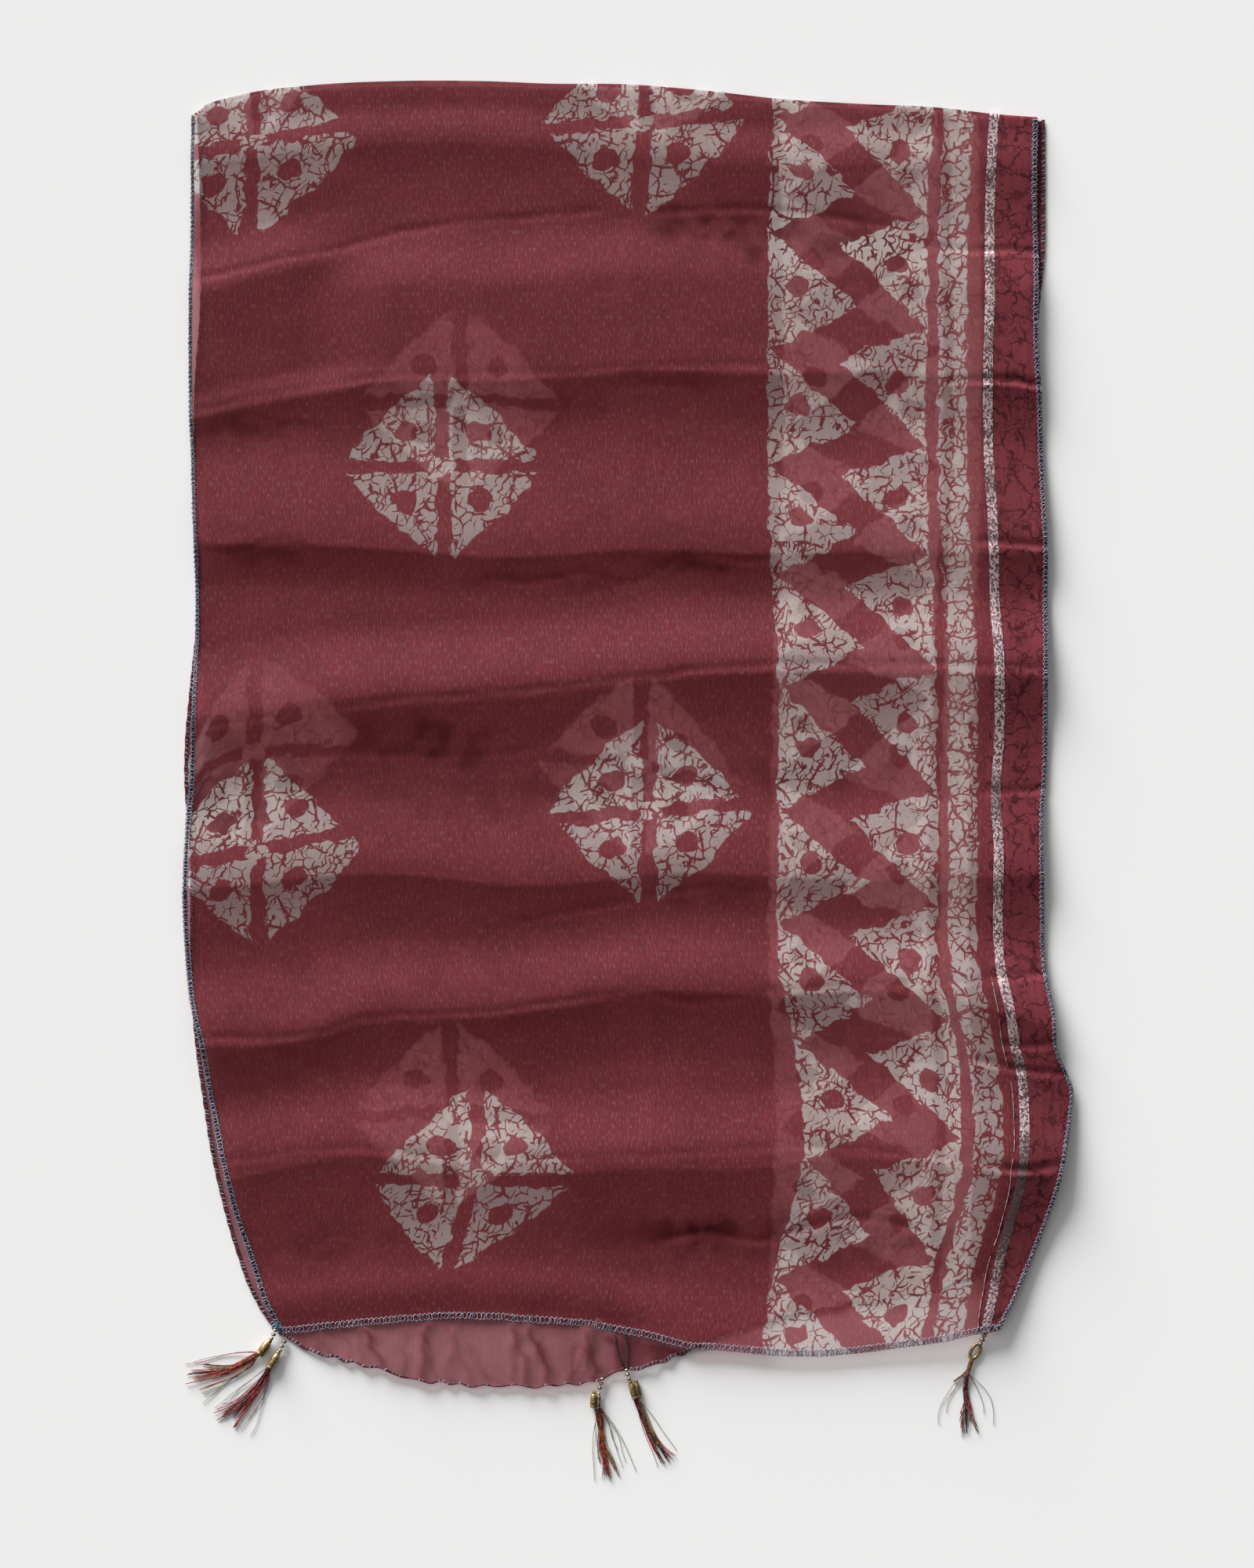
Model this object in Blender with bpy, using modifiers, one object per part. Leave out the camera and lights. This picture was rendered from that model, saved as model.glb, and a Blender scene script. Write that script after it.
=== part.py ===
"""A sheer printed stole, folded once across its width and laid flat with the fold away from the viewer.

One length of cloth makes three stretches: the front layer, the rounded fold and the back layer. A metal ribbon and a plain
border run down the right-hand edge of the whole length, round the fold and back. Short tassels hang from the two hems.
All plan sizes are millimetres from the middle of the laid-out stole; +X is to the right, +Y towards the fold, +Z up.
"""

from collections import namedtuple
from math import atan2, cos, exp, hypot, pi, radians, sin

import bmesh
import bpy

# ---- driving sizes, in millimetres ----------------------------------------------------------------------------------
MM = 0.001
WALL = 1.0  # cloth wall
SEAM = 0.35  # clear gap between neighbouring pieces
PLY_GAP = 0.4  # clear gap between the two layers
FOLD_LIFT = 2.0  # extra height of the front layer where it comes over the fold
FOLD_REACH = 32.0  # distance over which that lift dies away
RIBBON = 7.0  # width of the metal ribbon

FIELD_COLUMNS, BORDER_COLUMNS, RIBBON_COLUMNS = 11, 2, 1
FRONT_ROWS, BACK_ROWS, FOLD_ROWS = 58, 22, 6

CAP_LENGTH, CAP_RADIUS = 11.0, 3.0  # a tassel's metal cap
SLIM_CAP_RADIUS = 1.45  # where two caps lie side by side
BEAD_RADIUS = 1.7
CORD_RADIUS = 0.6
AXIS_HEIGHT = 3.1  # a tassel's caps and beads lie with their axis this high
TUFT_FLATNESS = 0.3  # height of a lying tuft over its width
CENTRE = (0.63, 0.56)  # middle of the bounding box in plan, taken off every piece

# ---- outline: one row per section across the stole -------------------------------------------------------------------
Section = namedtuple("Section", "y left ribbon right")
FRONT_SECTIONS = (
    Section(y=470, left=-306, ribbon=258, right=289),
    Section(y=385, left=-306, ribbon=255, right=289),
    Section(y=275, left=-307, ribbon=253, right=290),
    Section(y=165, left=-304, ribbon=256, right=295),
    Section(y=55, left=-305, ribbon=261, right=295),
    Section(y=0, left=-307, ribbon=259, right=294),
    Section(y=-55, left=-311, ribbon=260, right=292),
    Section(y=-110, left=-311, ribbon=261, right=293),
    Section(y=-154, left=-306, ribbon=267, right=299),
    Section(y=-187, left=-301, ribbon=273, right=302),
    Section(y=-211, left=-296, ribbon=277, right=312),
    Section(y=-231, left=-291, ribbon=278, right=312),
    Section(y=-272, left=-283, ribbon=277, right=305),
    Section(y=-300, left=-276, ribbon=270, right=297),
    Section(y=-334, left=-265, ribbon=261, right=284),
    Section(y=-364, left=-255, ribbon=255, right=271),
    Section(y=-384, left=-245, ribbon=250.5, right=261.5),
)
BACK_SECTIONS = (
    Section(y=470, left=-301, ribbon=260, right=293.5),
    Section(y=385, left=-299, ribbon=257, right=291.5),
    Section(y=275, left=-303.5, ribbon=252, right=288),
    Section(y=165, left=-302.5, ribbon=254, right=291),
    Section(y=55, left=-307.5, ribbon=256, right=290),
    Section(y=-55, left=-306.5, ribbon=257, right=289),
    Section(y=-154, left=-304.7, ribbon=263, right=293),
    Section(y=-211, left=-298.5, ribbon=271, right=302),
    Section(y=-272, left=-288.5, ribbon=270, right=297),
    Section(y=-334, left=-272.5, ribbon=259, right=277),
    Section(y=-364, left=-260, ribbon=254, right=269),
    Section(y=-390, left=-246, ribbon=250, right=260),
)

# ---- the two ends: one row per station along the fold ----------------------------------------------------------------
Station = namedtuple("Station", "x fold front_hem back_hem")
STATIONS = (
    Station(x=-310, fold=468, front_hem=-384, back_hem=-384),
    Station(x=-275, fold=483, front_hem=-384, back_hem=-384),
    Station(x=-245, fold=489, front_hem=-384, back_hem=-386),
    Station(x=-222, fold=491, front_hem=-382, back_hem=-398),
    Station(x=-165, fold=493, front_hem=-378, back_hem=-413),
    Station(x=-94, fold=493, front_hem=-376, back_hem=-422),
    Station(x=-33, fold=491, front_hem=-381, back_hem=-421),
    Station(x=20, fold=491, front_hem=-390, back_hem=-407),
    Station(x=66, fold=486, front_hem=-397, back_hem=-389),
    Station(x=138, fold=480, front_hem=-401, back_hem=-369.6),
    Station(x=193, fold=476, front_hem=-395, back_hem=-360.8),
    Station(x=250, fold=470, front_hem=-384, back_hem=-342),
    Station(x=312, fold=466, front_hem=-375, back_hem=-325),
)

# ---- soft ridges of the front layer: one row per ridge, a straight crest from one point to another -------------------
Ridge = namedtuple("Ridge", "x1 y1 x2 y2 height reach")
RIDGES = (
    Ridge(x1=-330, y1=347, x2=-20, y2=397, height=3.4, reach=26),
    Ridge(x1=20, y1=440, x2=330, y2=425, height=2.2, reach=24),
    Ridge(x1=-330, y1=252, x2=40, y2=288, height=3.6, reach=25),
    Ridge(x1=80, y1=290, x2=330, y2=278, height=2.6, reach=22),
    Ridge(x1=-330, y1=150, x2=150, y2=172, height=2.2, reach=30),
    Ridge(x1=-330, y1=36, x2=80, y2=76, height=3.6, reach=24),
    Ridge(x1=110, y1=80, x2=330, y2=79, height=3.0, reach=20),
    Ridge(x1=-330, y1=-66, x2=330, y2=-58, height=2.8, reach=26),
    Ridge(x1=-330, y1=-182, x2=40, y2=-148, height=3.4, reach=22),
    Ridge(x1=80, y1=-150, x2=330, y2=-208, height=3.0, reach=22),
    Ridge(x1=-300, y1=-268, x2=330, y2=-272, height=3.6, reach=24),
    Ridge(x1=-240, y1=-345, x2=240, y2=-352, height=2.4, reach=18),
)

# ---- tassels: one row each; hem is where the beads start, cap where the caps start, tip where the threads end --------
Tassel = namedtuple("Tassel", "name hem cap turn tip spread caps")
TASSELS = (
    Tassel(name="front_left", hem=(-248, -387.5), cap=(-250.5, -391), turn=-127, tip=(-308, -420), spread=5, caps=1),
    Tassel(name="back_left", hem=(-241.5, -391.5), cap=(-246, -400), turn=-119, tip=(-284, -448), spread=8, caps=1),
    Tassel(name="back_middle", hem=(-19.5, -423.5), cap=(-21, -429), turn=-97, tip=(-11, -490.5), spread=7, caps=2),
    Tassel(name="front_middle", hem=(-0.5, -415.5), cap=(1.5, -421), turn=-71, tip=(31, -478), spread=7, caps=2),
    Tassel(name="front_right", hem=(252, -387), cap=(248, -395), turn=-121, tip=(240, -456), spread=7, caps=1),
)
LOOP = ((-9.0, -395.0), (-7.4, -401.0), (-4.2, -408.0), (-1.4, -413.0), (0.2, -413.0), (0.4, -408.0), (-0.2, -401.0), (-0.8, -395.5))


# ---- reading the tables ----------------------------------------------------------------------------------------------
def read(rows, key, name, at):
    """The value of a column at a place between two rows, along a smooth curve through all rows."""
    rows = sorted(rows, key=lambda row: getattr(row, key))
    place = [getattr(row, key) for row in rows]
    value = [getattr(row, name) for row in rows]
    at = min(max(at, place[0]), place[-1])
    i = max(k for k in range(len(rows) - 1) if place[k] <= at)

    def slope(k):
        low, high = max(k - 1, 0), min(k + 1, len(rows) - 1)
        return (value[high] - value[low]) / (place[high] - place[low])

    span = place[i + 1] - place[i]
    t = (at - place[i]) / span
    return (
        value[i] * (1 + 2 * t) * (1 - t) ** 2
        + value[i + 1] * t * t * (3 - 2 * t)
        + slope(i) * span * t * (1 - t) ** 2
        - slope(i + 1) * span * t * t * (1 - t)
    )


def soft_step(t):
    t = min(max(t, 0.0), 1.0)
    return t * t * (3 - 2 * t)


def ridge_height(x, y):
    """Height of the ridges at a place: rounded across each crest and fading out past its ends."""
    total = 0.0
    for r in RIDGES:
        length = hypot(r.x2 - r.x1, r.y2 - r.y1)
        dx, dy = (r.x2 - r.x1) / length, (r.y2 - r.y1) / length
        along = (x - r.x1) * dx + (y - r.y1) * dy
        off = -(x - r.x1) * dy + (y - r.y1) * dx
        past = max(-along, along - length, 0.0)
        total += r.height * exp(-((off / r.reach) ** 2)) * exp(-((past / 45.0) ** 2))
    return total


FOLD_INNER = (PLY_GAP + FOLD_LIFT) / 2  # inner radius of the fold
FOLD_OUTER = FOLD_INNER + WALL


def front_height(x, y):
    """Underside of the front layer: level with the fold at its start, then down to the back layer and over the ridges."""
    from_fold = read(STATIONS, "x", "fold", x) - FOLD_OUTER - y
    lift = FOLD_LIFT * exp(-((from_fold / FOLD_REACH) ** 2))
    return WALL + PLY_GAP + lift + ridge_height(x, y) * soft_step(from_fold / 60.0)


# ---- strips: the field, the ribbon and the border, each between two lines down the length ------------------------------
def lines(strip):
    """For a strip, its left and right lines as (column, offset)."""
    half = RIBBON / 2
    return {
        "field": (("left", 0.0), ("ribbon", -half - SEAM / 2)),
        "ribbon": (("ribbon", -half + SEAM / 2), ("ribbon", half - SEAM / 2)),
        "border": (("ribbon", half + SEAM / 2), ("right", 0.0)),
    }[strip]


def plan_point(strip, sections, hem, across, along):
    """A point of a layer in plan: across runs from the strip's left line to its right one, along from the fold to the hem."""
    left, right = lines(strip)

    def side(line, t):
        column, offset = line
        x = read(sections, "y", column, 470) + offset
        top = read(STATIONS, "x", "fold", x) - FOLD_OUTER
        x = read(sections, "y", column, -384) + offset
        low = read(STATIONS, "x", hem, x)
        y = top + (low - top) * t
        return read(sections, "y", column, y) + offset, y

    def end(t, s):
        (x1, y1), (x2, y2) = side(left, t), side(right, t)
        x = x1 + (x2 - x1) * s
        if t == 0:
            base, slant = read(STATIONS, "x", "fold", x) - FOLD_OUTER, None
        else:
            base, slant = read(STATIONS, "x", hem, x), None
        if s == 0:
            base = y1
        if s == 1:
            base = y2
        return x, base

    (lx, ly), (rx, ry) = side(left, along), side(right, along)
    (tx, ty), (bx, by) = end(0, across), end(1, across)
    corners = [side(left, 0), side(right, 0), side(left, 1), side(right, 1)]
    weights = [(1 - across) * (1 - along), across * (1 - along), (1 - across) * along, across * along]
    x = (1 - across) * lx + across * rx + (1 - along) * tx + along * bx
    y = (1 - across) * ly + across * ry + (1 - along) * ty + along * by
    return (
        x - sum(w * c[0] for w, c in zip(weights, corners)),
        y - sum(w * c[1] for w, c in zip(weights, corners)),
    )


def front_point(strip, across, along):
    x, y = plan_point(strip, FRONT_SECTIONS, "front_hem", across, along)
    return x, y, front_height(x, y)


def back_point(strip, across, along):
    x, y = plan_point(strip, BACK_SECTIONS, "back_hem", across, along)
    return x, y, WALL


def fold_point(strip, across, turn):
    """The inside of the fold, from the front layer at turn 0 round to the back layer at turn 1."""
    fx, fy, _ = front_point(strip, across, 0.0)
    bx, by, _ = back_point(strip, across, 0.0)
    x, y = fx + (bx - fx) * turn, fy + (by - fy) * turn
    return x, y + FOLD_INNER * sin(pi * turn), WALL + FOLD_INNER * (1 + cos(pi * turn))


# ---- makers ----------------------------------------------------------------------------------------------------------
def material(name, colour, roughness, metallic=0.0):
    made = bpy.data.materials.new(name)
    made.use_nodes = True
    shader = made.node_tree.nodes["Principled BSDF"]
    shader.inputs["Base Color"].default_value = (*colour, 1.0)
    shader.inputs["Roughness"].default_value = roughness
    shader.inputs["Metallic"].default_value = metallic
    made.diffuse_color = (*colour, 1.0)
    return made


def add(name, data, made_of):
    ob = bpy.data.objects.new(name, data)
    data.materials.append(made_of)
    stole.objects.link(ob)
    ob.parent = root
    return ob


def cloth(name, rows, made_of):
    """A cloth wall: rows of points on its inner face, joined in a sheet that is thickened outwards."""
    bm = bmesh.new()
    grid = [[bm.verts.new((x * MM, y * MM, z * MM)) for x, y, z in row] for row in rows]
    for upper, lower in zip(grid, grid[1:]):
        for i in range(len(upper) - 1):
            bm.faces.new((upper[i], lower[i], lower[i + 1], upper[i + 1]))
    mesh = bpy.data.meshes.new(name)
    bm.to_mesh(mesh)
    bm.free()
    ob = add(name, mesh, made_of)
    wall = ob.modifiers.new("wall", "SOLIDIFY")
    wall.thickness = WALL * MM
    wall.offset = 1.0
    return ob


def sheet_rows(maker, strip, columns, start, stop, count):
    steps = [start + (stop - start) * j / count for j in range(count + 1)]
    return [[maker(strip, i / columns, t) for i in range(columns + 1)] for t in steps]


def band_rows(strip, columns):
    """A strip all the way round: the front layer from its hem, the fold, then the back layer to its hem."""
    front = sheet_rows(front_point, strip, columns, 1.0, 0.0, FRONT_ROWS)
    fold = sheet_rows(fold_point, strip, columns, 0.0, 1.0, FOLD_ROWS)
    back = sheet_rows(back_point, strip, columns, 0.0, 1.0, BACK_ROWS)
    return (front + fold[1:] + back[1:])[::-1]


def turned(name, profile, start, heading, made_of, height=AXIS_HEIGHT):
    """A turned piece lying down: its profile runs from one end to the other, and its axis points along the heading."""
    mesh = bpy.data.meshes.new(name)
    bm = bmesh.new()
    points = [bm.verts.new((r * MM, 0.0, z * MM)) for r, z in profile]
    for a, b in zip(points, points[1:]):
        bm.edges.new((a, b))
    bm.to_mesh(mesh)
    bm.free()
    ob = add(name, mesh, made_of)
    turn = ob.modifiers.new("turn", "SCREW")
    turn.steps = turn.render_steps = 12
    turn.use_merge_vertices = True
    turn.merge_threshold = 0.00002
    turn.use_normal_calculate = True
    ob.location = (start[0] * MM, start[1] * MM, height * MM)
    ob.rotation_euler = (0.0, pi / 2, heading)
    return ob


def tube(name, points, radii, made_of, flatness=1.0, height=AXIS_HEIGHT):
    """A tube through points on a level plane, with its own radius at each, pressed flat by the flatness."""
    curve = bpy.data.curves.new(name, "CURVE")
    curve.dimensions = "3D"
    curve.bevel_depth = MM
    curve.bevel_resolution = 2
    curve.use_fill_caps = True
    line = curve.splines.new("POLY")
    line.points.add(len(points) - 1)
    for node, (x, y), radius in zip(line.points, points, radii):
        node.co = (x * MM, y * MM, 0.0, 1.0)
        node.radius = radius
    ob = add(name, curve, made_of)
    ob.location = (0.0, 0.0, height * MM)
    ob.scale = (1.0, 1.0, flatness)
    return ob


def bead_profile(length, count):
    """Beads on a string, from the far end of the string back to its start."""
    pitch = length / count
    radius = min(BEAD_RADIUS, 0.46 * pitch)
    points = [(0.0, length)]
    for k in reversed(range(count)):
        middle = pitch * (k + 0.5)
        for angle in (65, 35, 0, -35, -65):
            points.append((radius * cos(radians(angle)), middle + radius * sin(radians(angle))))
    points.append((0.0, 0.0))
    return points


def cap_profile(radius):
    """A flared cap with a rolled rim at each end."""
    parts = ((0.0, 1.0), (0.55, 1.0), (1.0, 0.97), (1.0, 0.86), (0.86, 0.80), (0.80, 0.25), (0.9, 0.18), (0.9, 0.04), (0.6, 0.0), (0.0, 0.0))
    return [(radius * r, CAP_LENGTH * z) for r, z in parts]


def tuft_path(start, heading, tip, count=6):
    """A bent line that leaves the cap along its heading and ends at the tip."""
    reach = 0.4 * hypot(tip[0] - start[0], tip[1] - start[1])
    bend = (start[0] + reach * cos(heading), start[1] + reach * sin(heading))
    for k in range(count + 1):
        t = k / count
        yield tuple((1 - t) ** 2 * a + 2 * t * (1 - t) * b + t * t * c for a, b, c in zip(start, bend, tip))


# ---- the model -------------------------------------------------------------------------------------------------------
for old in list(bpy.data.objects):
    bpy.data.objects.remove(old, do_unlink=True)

stole = bpy.data.collections.new("printed_stole")
bpy.context.scene.collection.children.link(stole)
root = bpy.data.objects.new("stole_frame", None)
root.location = (-CENTRE[0] * MM, -CENTRE[1] * MM, 0.0)
stole.objects.link(root)

sheer = material("sheer_cloth", (0.16, 0.032, 0.045), 0.75)
woven = material("border_weave", (0.13, 0.018, 0.026), 0.7)
silver = material("metal_ribbon", (0.62, 0.60, 0.58), 0.35, 0.6)
brass = material("cap_brass", (0.62, 0.42, 0.16), 0.35, 1.0)
beads = material("bead_metal", (0.66, 0.62, 0.54), 0.3, 0.9)
threads = material("tassel_thread", (0.34, 0.03, 0.05), 0.6)
cord = material("loop_cord", (0.012, 0.012, 0.014), 0.6)

# The field of the cloth: the two layers stop short of the fold by a seam gap, and the fold bridges them.
reach = 860.0
short = 0.5 * SEAM / reach
cloth("cloth_front", sheet_rows(front_point, "field", FIELD_COLUMNS, short, 1.0, FRONT_ROWS), sheer)
cloth("cloth_fold", sheet_rows(fold_point, "field", FIELD_COLUMNS, 1.0 - 0.04, 0.04, FOLD_ROWS), sheer)
cloth("cloth_back", sheet_rows(back_point, "field", FIELD_COLUMNS, 1.0, short, BACK_ROWS), sheer)
# The ribbon and the border run on round the fold in one piece each.
cloth("metal_ribbon", band_rows("ribbon", RIBBON_COLUMNS), silver)
cloth("border_strip", band_rows("border", BORDER_COLUMNS), woven)

for t in TASSELS:
    string = hypot(t.cap[0] - t.hem[0], t.cap[1] - t.hem[1])
    lean = atan2(t.cap[1] - t.hem[1], t.cap[0] - t.hem[0])
    count = 1 if string < 5 else 2
    turned(f"beads_{t.name}", bead_profile(string - SEAM, count), t.hem, lean, beads)
    heading = radians(t.turn)
    side = (-sin(heading), cos(heading))
    radius = CAP_RADIUS if t.caps == 1 else SLIM_CAP_RADIUS
    for k in range(t.caps):
        shift = (k - (t.caps - 1) / 2) * (2 * radius + SEAM)
        start = (t.cap[0] + shift * side[0], t.cap[1] + shift * side[1])
        label = f"cap_{t.name}" if t.caps == 1 else f"cap_{t.name}_{'ab'[k]}"
        turned(label, cap_profile(radius), start, heading, brass)
    start = (t.cap[0] + (CAP_LENGTH + SEAM) * cos(heading), t.cap[1] + (CAP_LENGTH + SEAM) * sin(heading))
    path = list(tuft_path(start, heading, t.tip))
    radii = [2.4 + (t.spread - 2.4) * soft_step(k / (len(path) - 2)) for k in range(len(path) - 1)] + [0.55 * t.spread]
    tube(f"tuft_{t.name}", path, radii, threads, TUFT_FLATNESS, TUFT_FLATNESS * t.spread + 0.2)

# The front middle tassel hangs from a looped cord that lies over the back layer's hem.
tube("loop_front_middle", LOOP, [CORD_RADIUS] * len(LOOP), cord, 1.0, WALL + SEAM + CORD_RADIUS)
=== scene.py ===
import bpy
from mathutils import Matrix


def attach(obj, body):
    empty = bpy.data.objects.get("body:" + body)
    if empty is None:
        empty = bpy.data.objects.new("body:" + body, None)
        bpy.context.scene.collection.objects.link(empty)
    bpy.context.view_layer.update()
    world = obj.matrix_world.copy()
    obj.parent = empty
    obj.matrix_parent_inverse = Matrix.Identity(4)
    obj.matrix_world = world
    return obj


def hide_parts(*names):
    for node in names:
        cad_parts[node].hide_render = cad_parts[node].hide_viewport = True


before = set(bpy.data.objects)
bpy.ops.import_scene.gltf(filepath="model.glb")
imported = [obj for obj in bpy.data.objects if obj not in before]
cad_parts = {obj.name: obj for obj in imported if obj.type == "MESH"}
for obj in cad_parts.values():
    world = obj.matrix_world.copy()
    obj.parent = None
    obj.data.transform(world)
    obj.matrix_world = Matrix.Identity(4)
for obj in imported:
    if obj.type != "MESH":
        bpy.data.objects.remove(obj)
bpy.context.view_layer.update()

import math

import bpy
import numpy as np

# The plan of the stole is worked out in steps of 0.55 mm, called units here: x to the right, y down from the fold side.
UNIT = 0.00055
CENTRE = (0.00063, 0.00056)
MM = 0.001


def wx(x):
    return (np.asarray(x, float) - 800.0) * UNIT - CENTRE[0]


def wy(y):
    return (1000.0 - np.asarray(y, float)) * UNIT - CENTRE[1]


# ---- camera, light and floor -------------------------------------------------------------------------------------------
scene = bpy.context.scene
scene.view_settings.view_transform = "Standard"
scene.view_settings.look = "None"

cam_data = bpy.data.cameras.new("camera")
cam_data.type = "PERSP"
cam_data.lens, cam_data.sensor_width, cam_data.sensor_height = 100.0, 36.0, 36.0
cam = bpy.data.objects.new("camera", cam_data)
cam.location = (float(wx(800)), float(wy(1000)), 1.10 / 0.36 + 0.004)
cam_data.clip_start, cam_data.clip_end = 0.1, 20.0
scene.collection.objects.link(cam)
scene.camera = cam

KEY_ELEVATION, KEY_AZIMUTH = math.radians(15.5), math.radians(118)
sun = bpy.data.lights.new("key", "SUN")
sun.energy, sun.angle, sun.color = 7.5, math.radians(34), (1.0, 0.995, 0.985)
key = bpy.data.objects.new("key", sun)
key.rotation_euler = (0.0, math.pi / 2 - KEY_ELEVATION, KEY_AZIMUTH)
scene.collection.objects.link(key)

world = bpy.data.worlds.new("studio")
scene.world = world
world.use_nodes = True
backdrop = world.node_tree.nodes["Background"]
backdrop.inputs["Color"].default_value = (1.0, 1.0, 1.0, 1.0)
sky_place = world.node_tree.nodes.new("ShaderNodeTexCoord")
sky_side = world.node_tree.nodes.new("ShaderNodeVectorMath")
sky_side.operation = "DOT_PRODUCT"
sky_side.inputs[1].default_value = (-0.46, 0.88, 0.10)
sky_level = world.node_tree.nodes.new("ShaderNodeMath")
sky_level.operation = "MULTIPLY_ADD"
sky_level.inputs[1].default_value, sky_level.inputs[2].default_value = 0.64, 0.278
world.node_tree.links.new(sky_place.outputs["Generated"], sky_side.inputs[0])
world.node_tree.links.new(sky_side.outputs["Value"], sky_level.inputs[0])
sky_least = world.node_tree.nodes.new("ShaderNodeMath")
sky_least.operation = "MAXIMUM"
sky_least.inputs[1].default_value = 0.04
world.node_tree.links.new(sky_level.outputs[0], sky_least.inputs[0])
world.node_tree.links.new(sky_least.outputs[0], backdrop.inputs["Strength"])


# ---- node helper -------------------------------------------------------------------------------------------------------
class Nodes:
    """Short names for the shader nodes that the cloth's print and weave are worked out with."""

    def __init__(self, name):
        self.mat = bpy.data.materials.new(name)
        self.mat.use_nodes = True
        self.tree = self.mat.node_tree
        self.shader = self.tree.nodes["Principled BSDF"]
        self.out = self.tree.nodes["Material Output"]

    def put(self, kind, values=(), **settings):
        n = self.tree.nodes.new(kind)
        for k, v in settings.items():
            setattr(n, k, v)
        for i, v in enumerate(values):
            if v is not None:
                self.feed(n.inputs[i], v)
        return n

    def feed(self, socket, value):
        if isinstance(value, bpy.types.NodeSocket):
            self.tree.links.new(value, socket)
        elif socket.type == "RGBA" and len(value) == 3:
            socket.default_value = (*value, 1.0)
        else:
            socket.default_value = value

    def m(self, op, a, b=None, c=None, clamp=False):
        return self.put("ShaderNodeMath", (a, b, c), operation=op, use_clamp=clamp).outputs[0]

    def add(self, a, b):
        return self.m("ADD", a, b)

    def sub(self, a, b):
        return self.m("SUBTRACT", a, b)

    def mul(self, a, b):
        return self.m("MULTIPLY", a, b)

    def low(self, a, b):
        return self.m("MINIMUM", a, b)

    def high(self, a, b):
        return self.m("MAXIMUM", a, b)

    def step(self, value, a, b, lo=0.0, hi=1.0):
        """Smooth change from lo at a to hi at b."""
        n = self.put("ShaderNodeMapRange", interpolation_type="SMOOTHSTEP")
        for i, v in enumerate((value, a, b, lo, hi)):
            self.feed(n.inputs[i], v)
        return n.outputs[0]

    def vec(self, x, y, z=0.0):
        return self.put("ShaderNodeCombineXYZ", (x, y, z)).outputs[0]

    def split(self, v):
        n = self.put("ShaderNodeSeparateXYZ", (v,))
        return n.outputs[0], n.outputs[1]

    def vadd(self, a, b):
        return self.put("ShaderNodeVectorMath", (a, b), operation="ADD").outputs[0]

    def vmul(self, a, b):
        return self.put("ShaderNodeVectorMath", (a, b), operation="MULTIPLY").outputs[0]

    def noise(self, v, size, detail=2.0, rough=0.5, colour=False):
        n = self.put("ShaderNodeTexNoise", noise_dimensions="2D")
        self.feed(n.inputs["Vector"], v)
        n.inputs["Scale"].default_value = 1.0 / size
        n.inputs["Detail"].default_value = detail
        n.inputs["Roughness"].default_value = rough
        return n.outputs["Color" if colour else "Fac"]

    def shifted(self, v, size, amount, detail=2.0, seed=0.0):
        """The place v, wandering by about the amount over the size."""
        c = self.noise(self.vadd(v, (seed, -seed, 0.0)), size, detail, 0.55, colour=True)
        c = self.vmul(self.vadd(c, (-0.5, -0.5, 0.0)), (2.0 * amount, 2.0 * amount, 0.0))
        return self.vadd(v, c)

    def cells(self, v, size, feature="DISTANCE_TO_EDGE", output="Distance", spread=1.0):
        n = self.put("ShaderNodeTexVoronoi", voronoi_dimensions="2D", feature=feature)
        self.feed(n.inputs["Vector"], v)
        n.inputs["Scale"].default_value = 1.0 / size
        n.inputs["Randomness"].default_value = spread
        return n.outputs[output]

    def mix(self, f, a, b, mode="MIX"):
        n = self.put("ShaderNodeMix", data_type="RGBA", blend_type=mode)
        self.feed(n.inputs[0], f)
        self.feed(n.inputs[6], a)
        self.feed(n.inputs[7], b)
        return n.outputs[2]

    def place(self, name="print"):
        """The place on the flat cloth, in units."""
        n = self.put("ShaderNodeUVMap", uv_map=name)
        return self.vmul(n.outputs[0], (100.0, 100.0, 0.0))

    def attribute(self, name):
        return self.put("ShaderNodeAttribute", attribute_name=name).outputs["Fac"]

    def bump(self, height, strength, distance):
        n = self.put("ShaderNodeBump")
        n.inputs["Strength"].default_value = strength
        n.inputs["Distance"].default_value = distance
        self.feed(n.inputs["Height"], height)
        self.feed(self.shader.inputs["Normal"], n.outputs[0])


# ---- crackle and print ---------------------------------------------------------------------------------------------------
def unrest(g, p, size, seed):
    """Three wandering values round 0 at each place: two to bend the drawing with, one to vary its lines."""
    c = g.noise(g.vadd(p, (seed * 41.0, -seed * 29.0, 0.0)), size, 2.0, 0.5, colour=True)
    return g.vadd(c, (-0.5, -0.5, -0.5))


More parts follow.
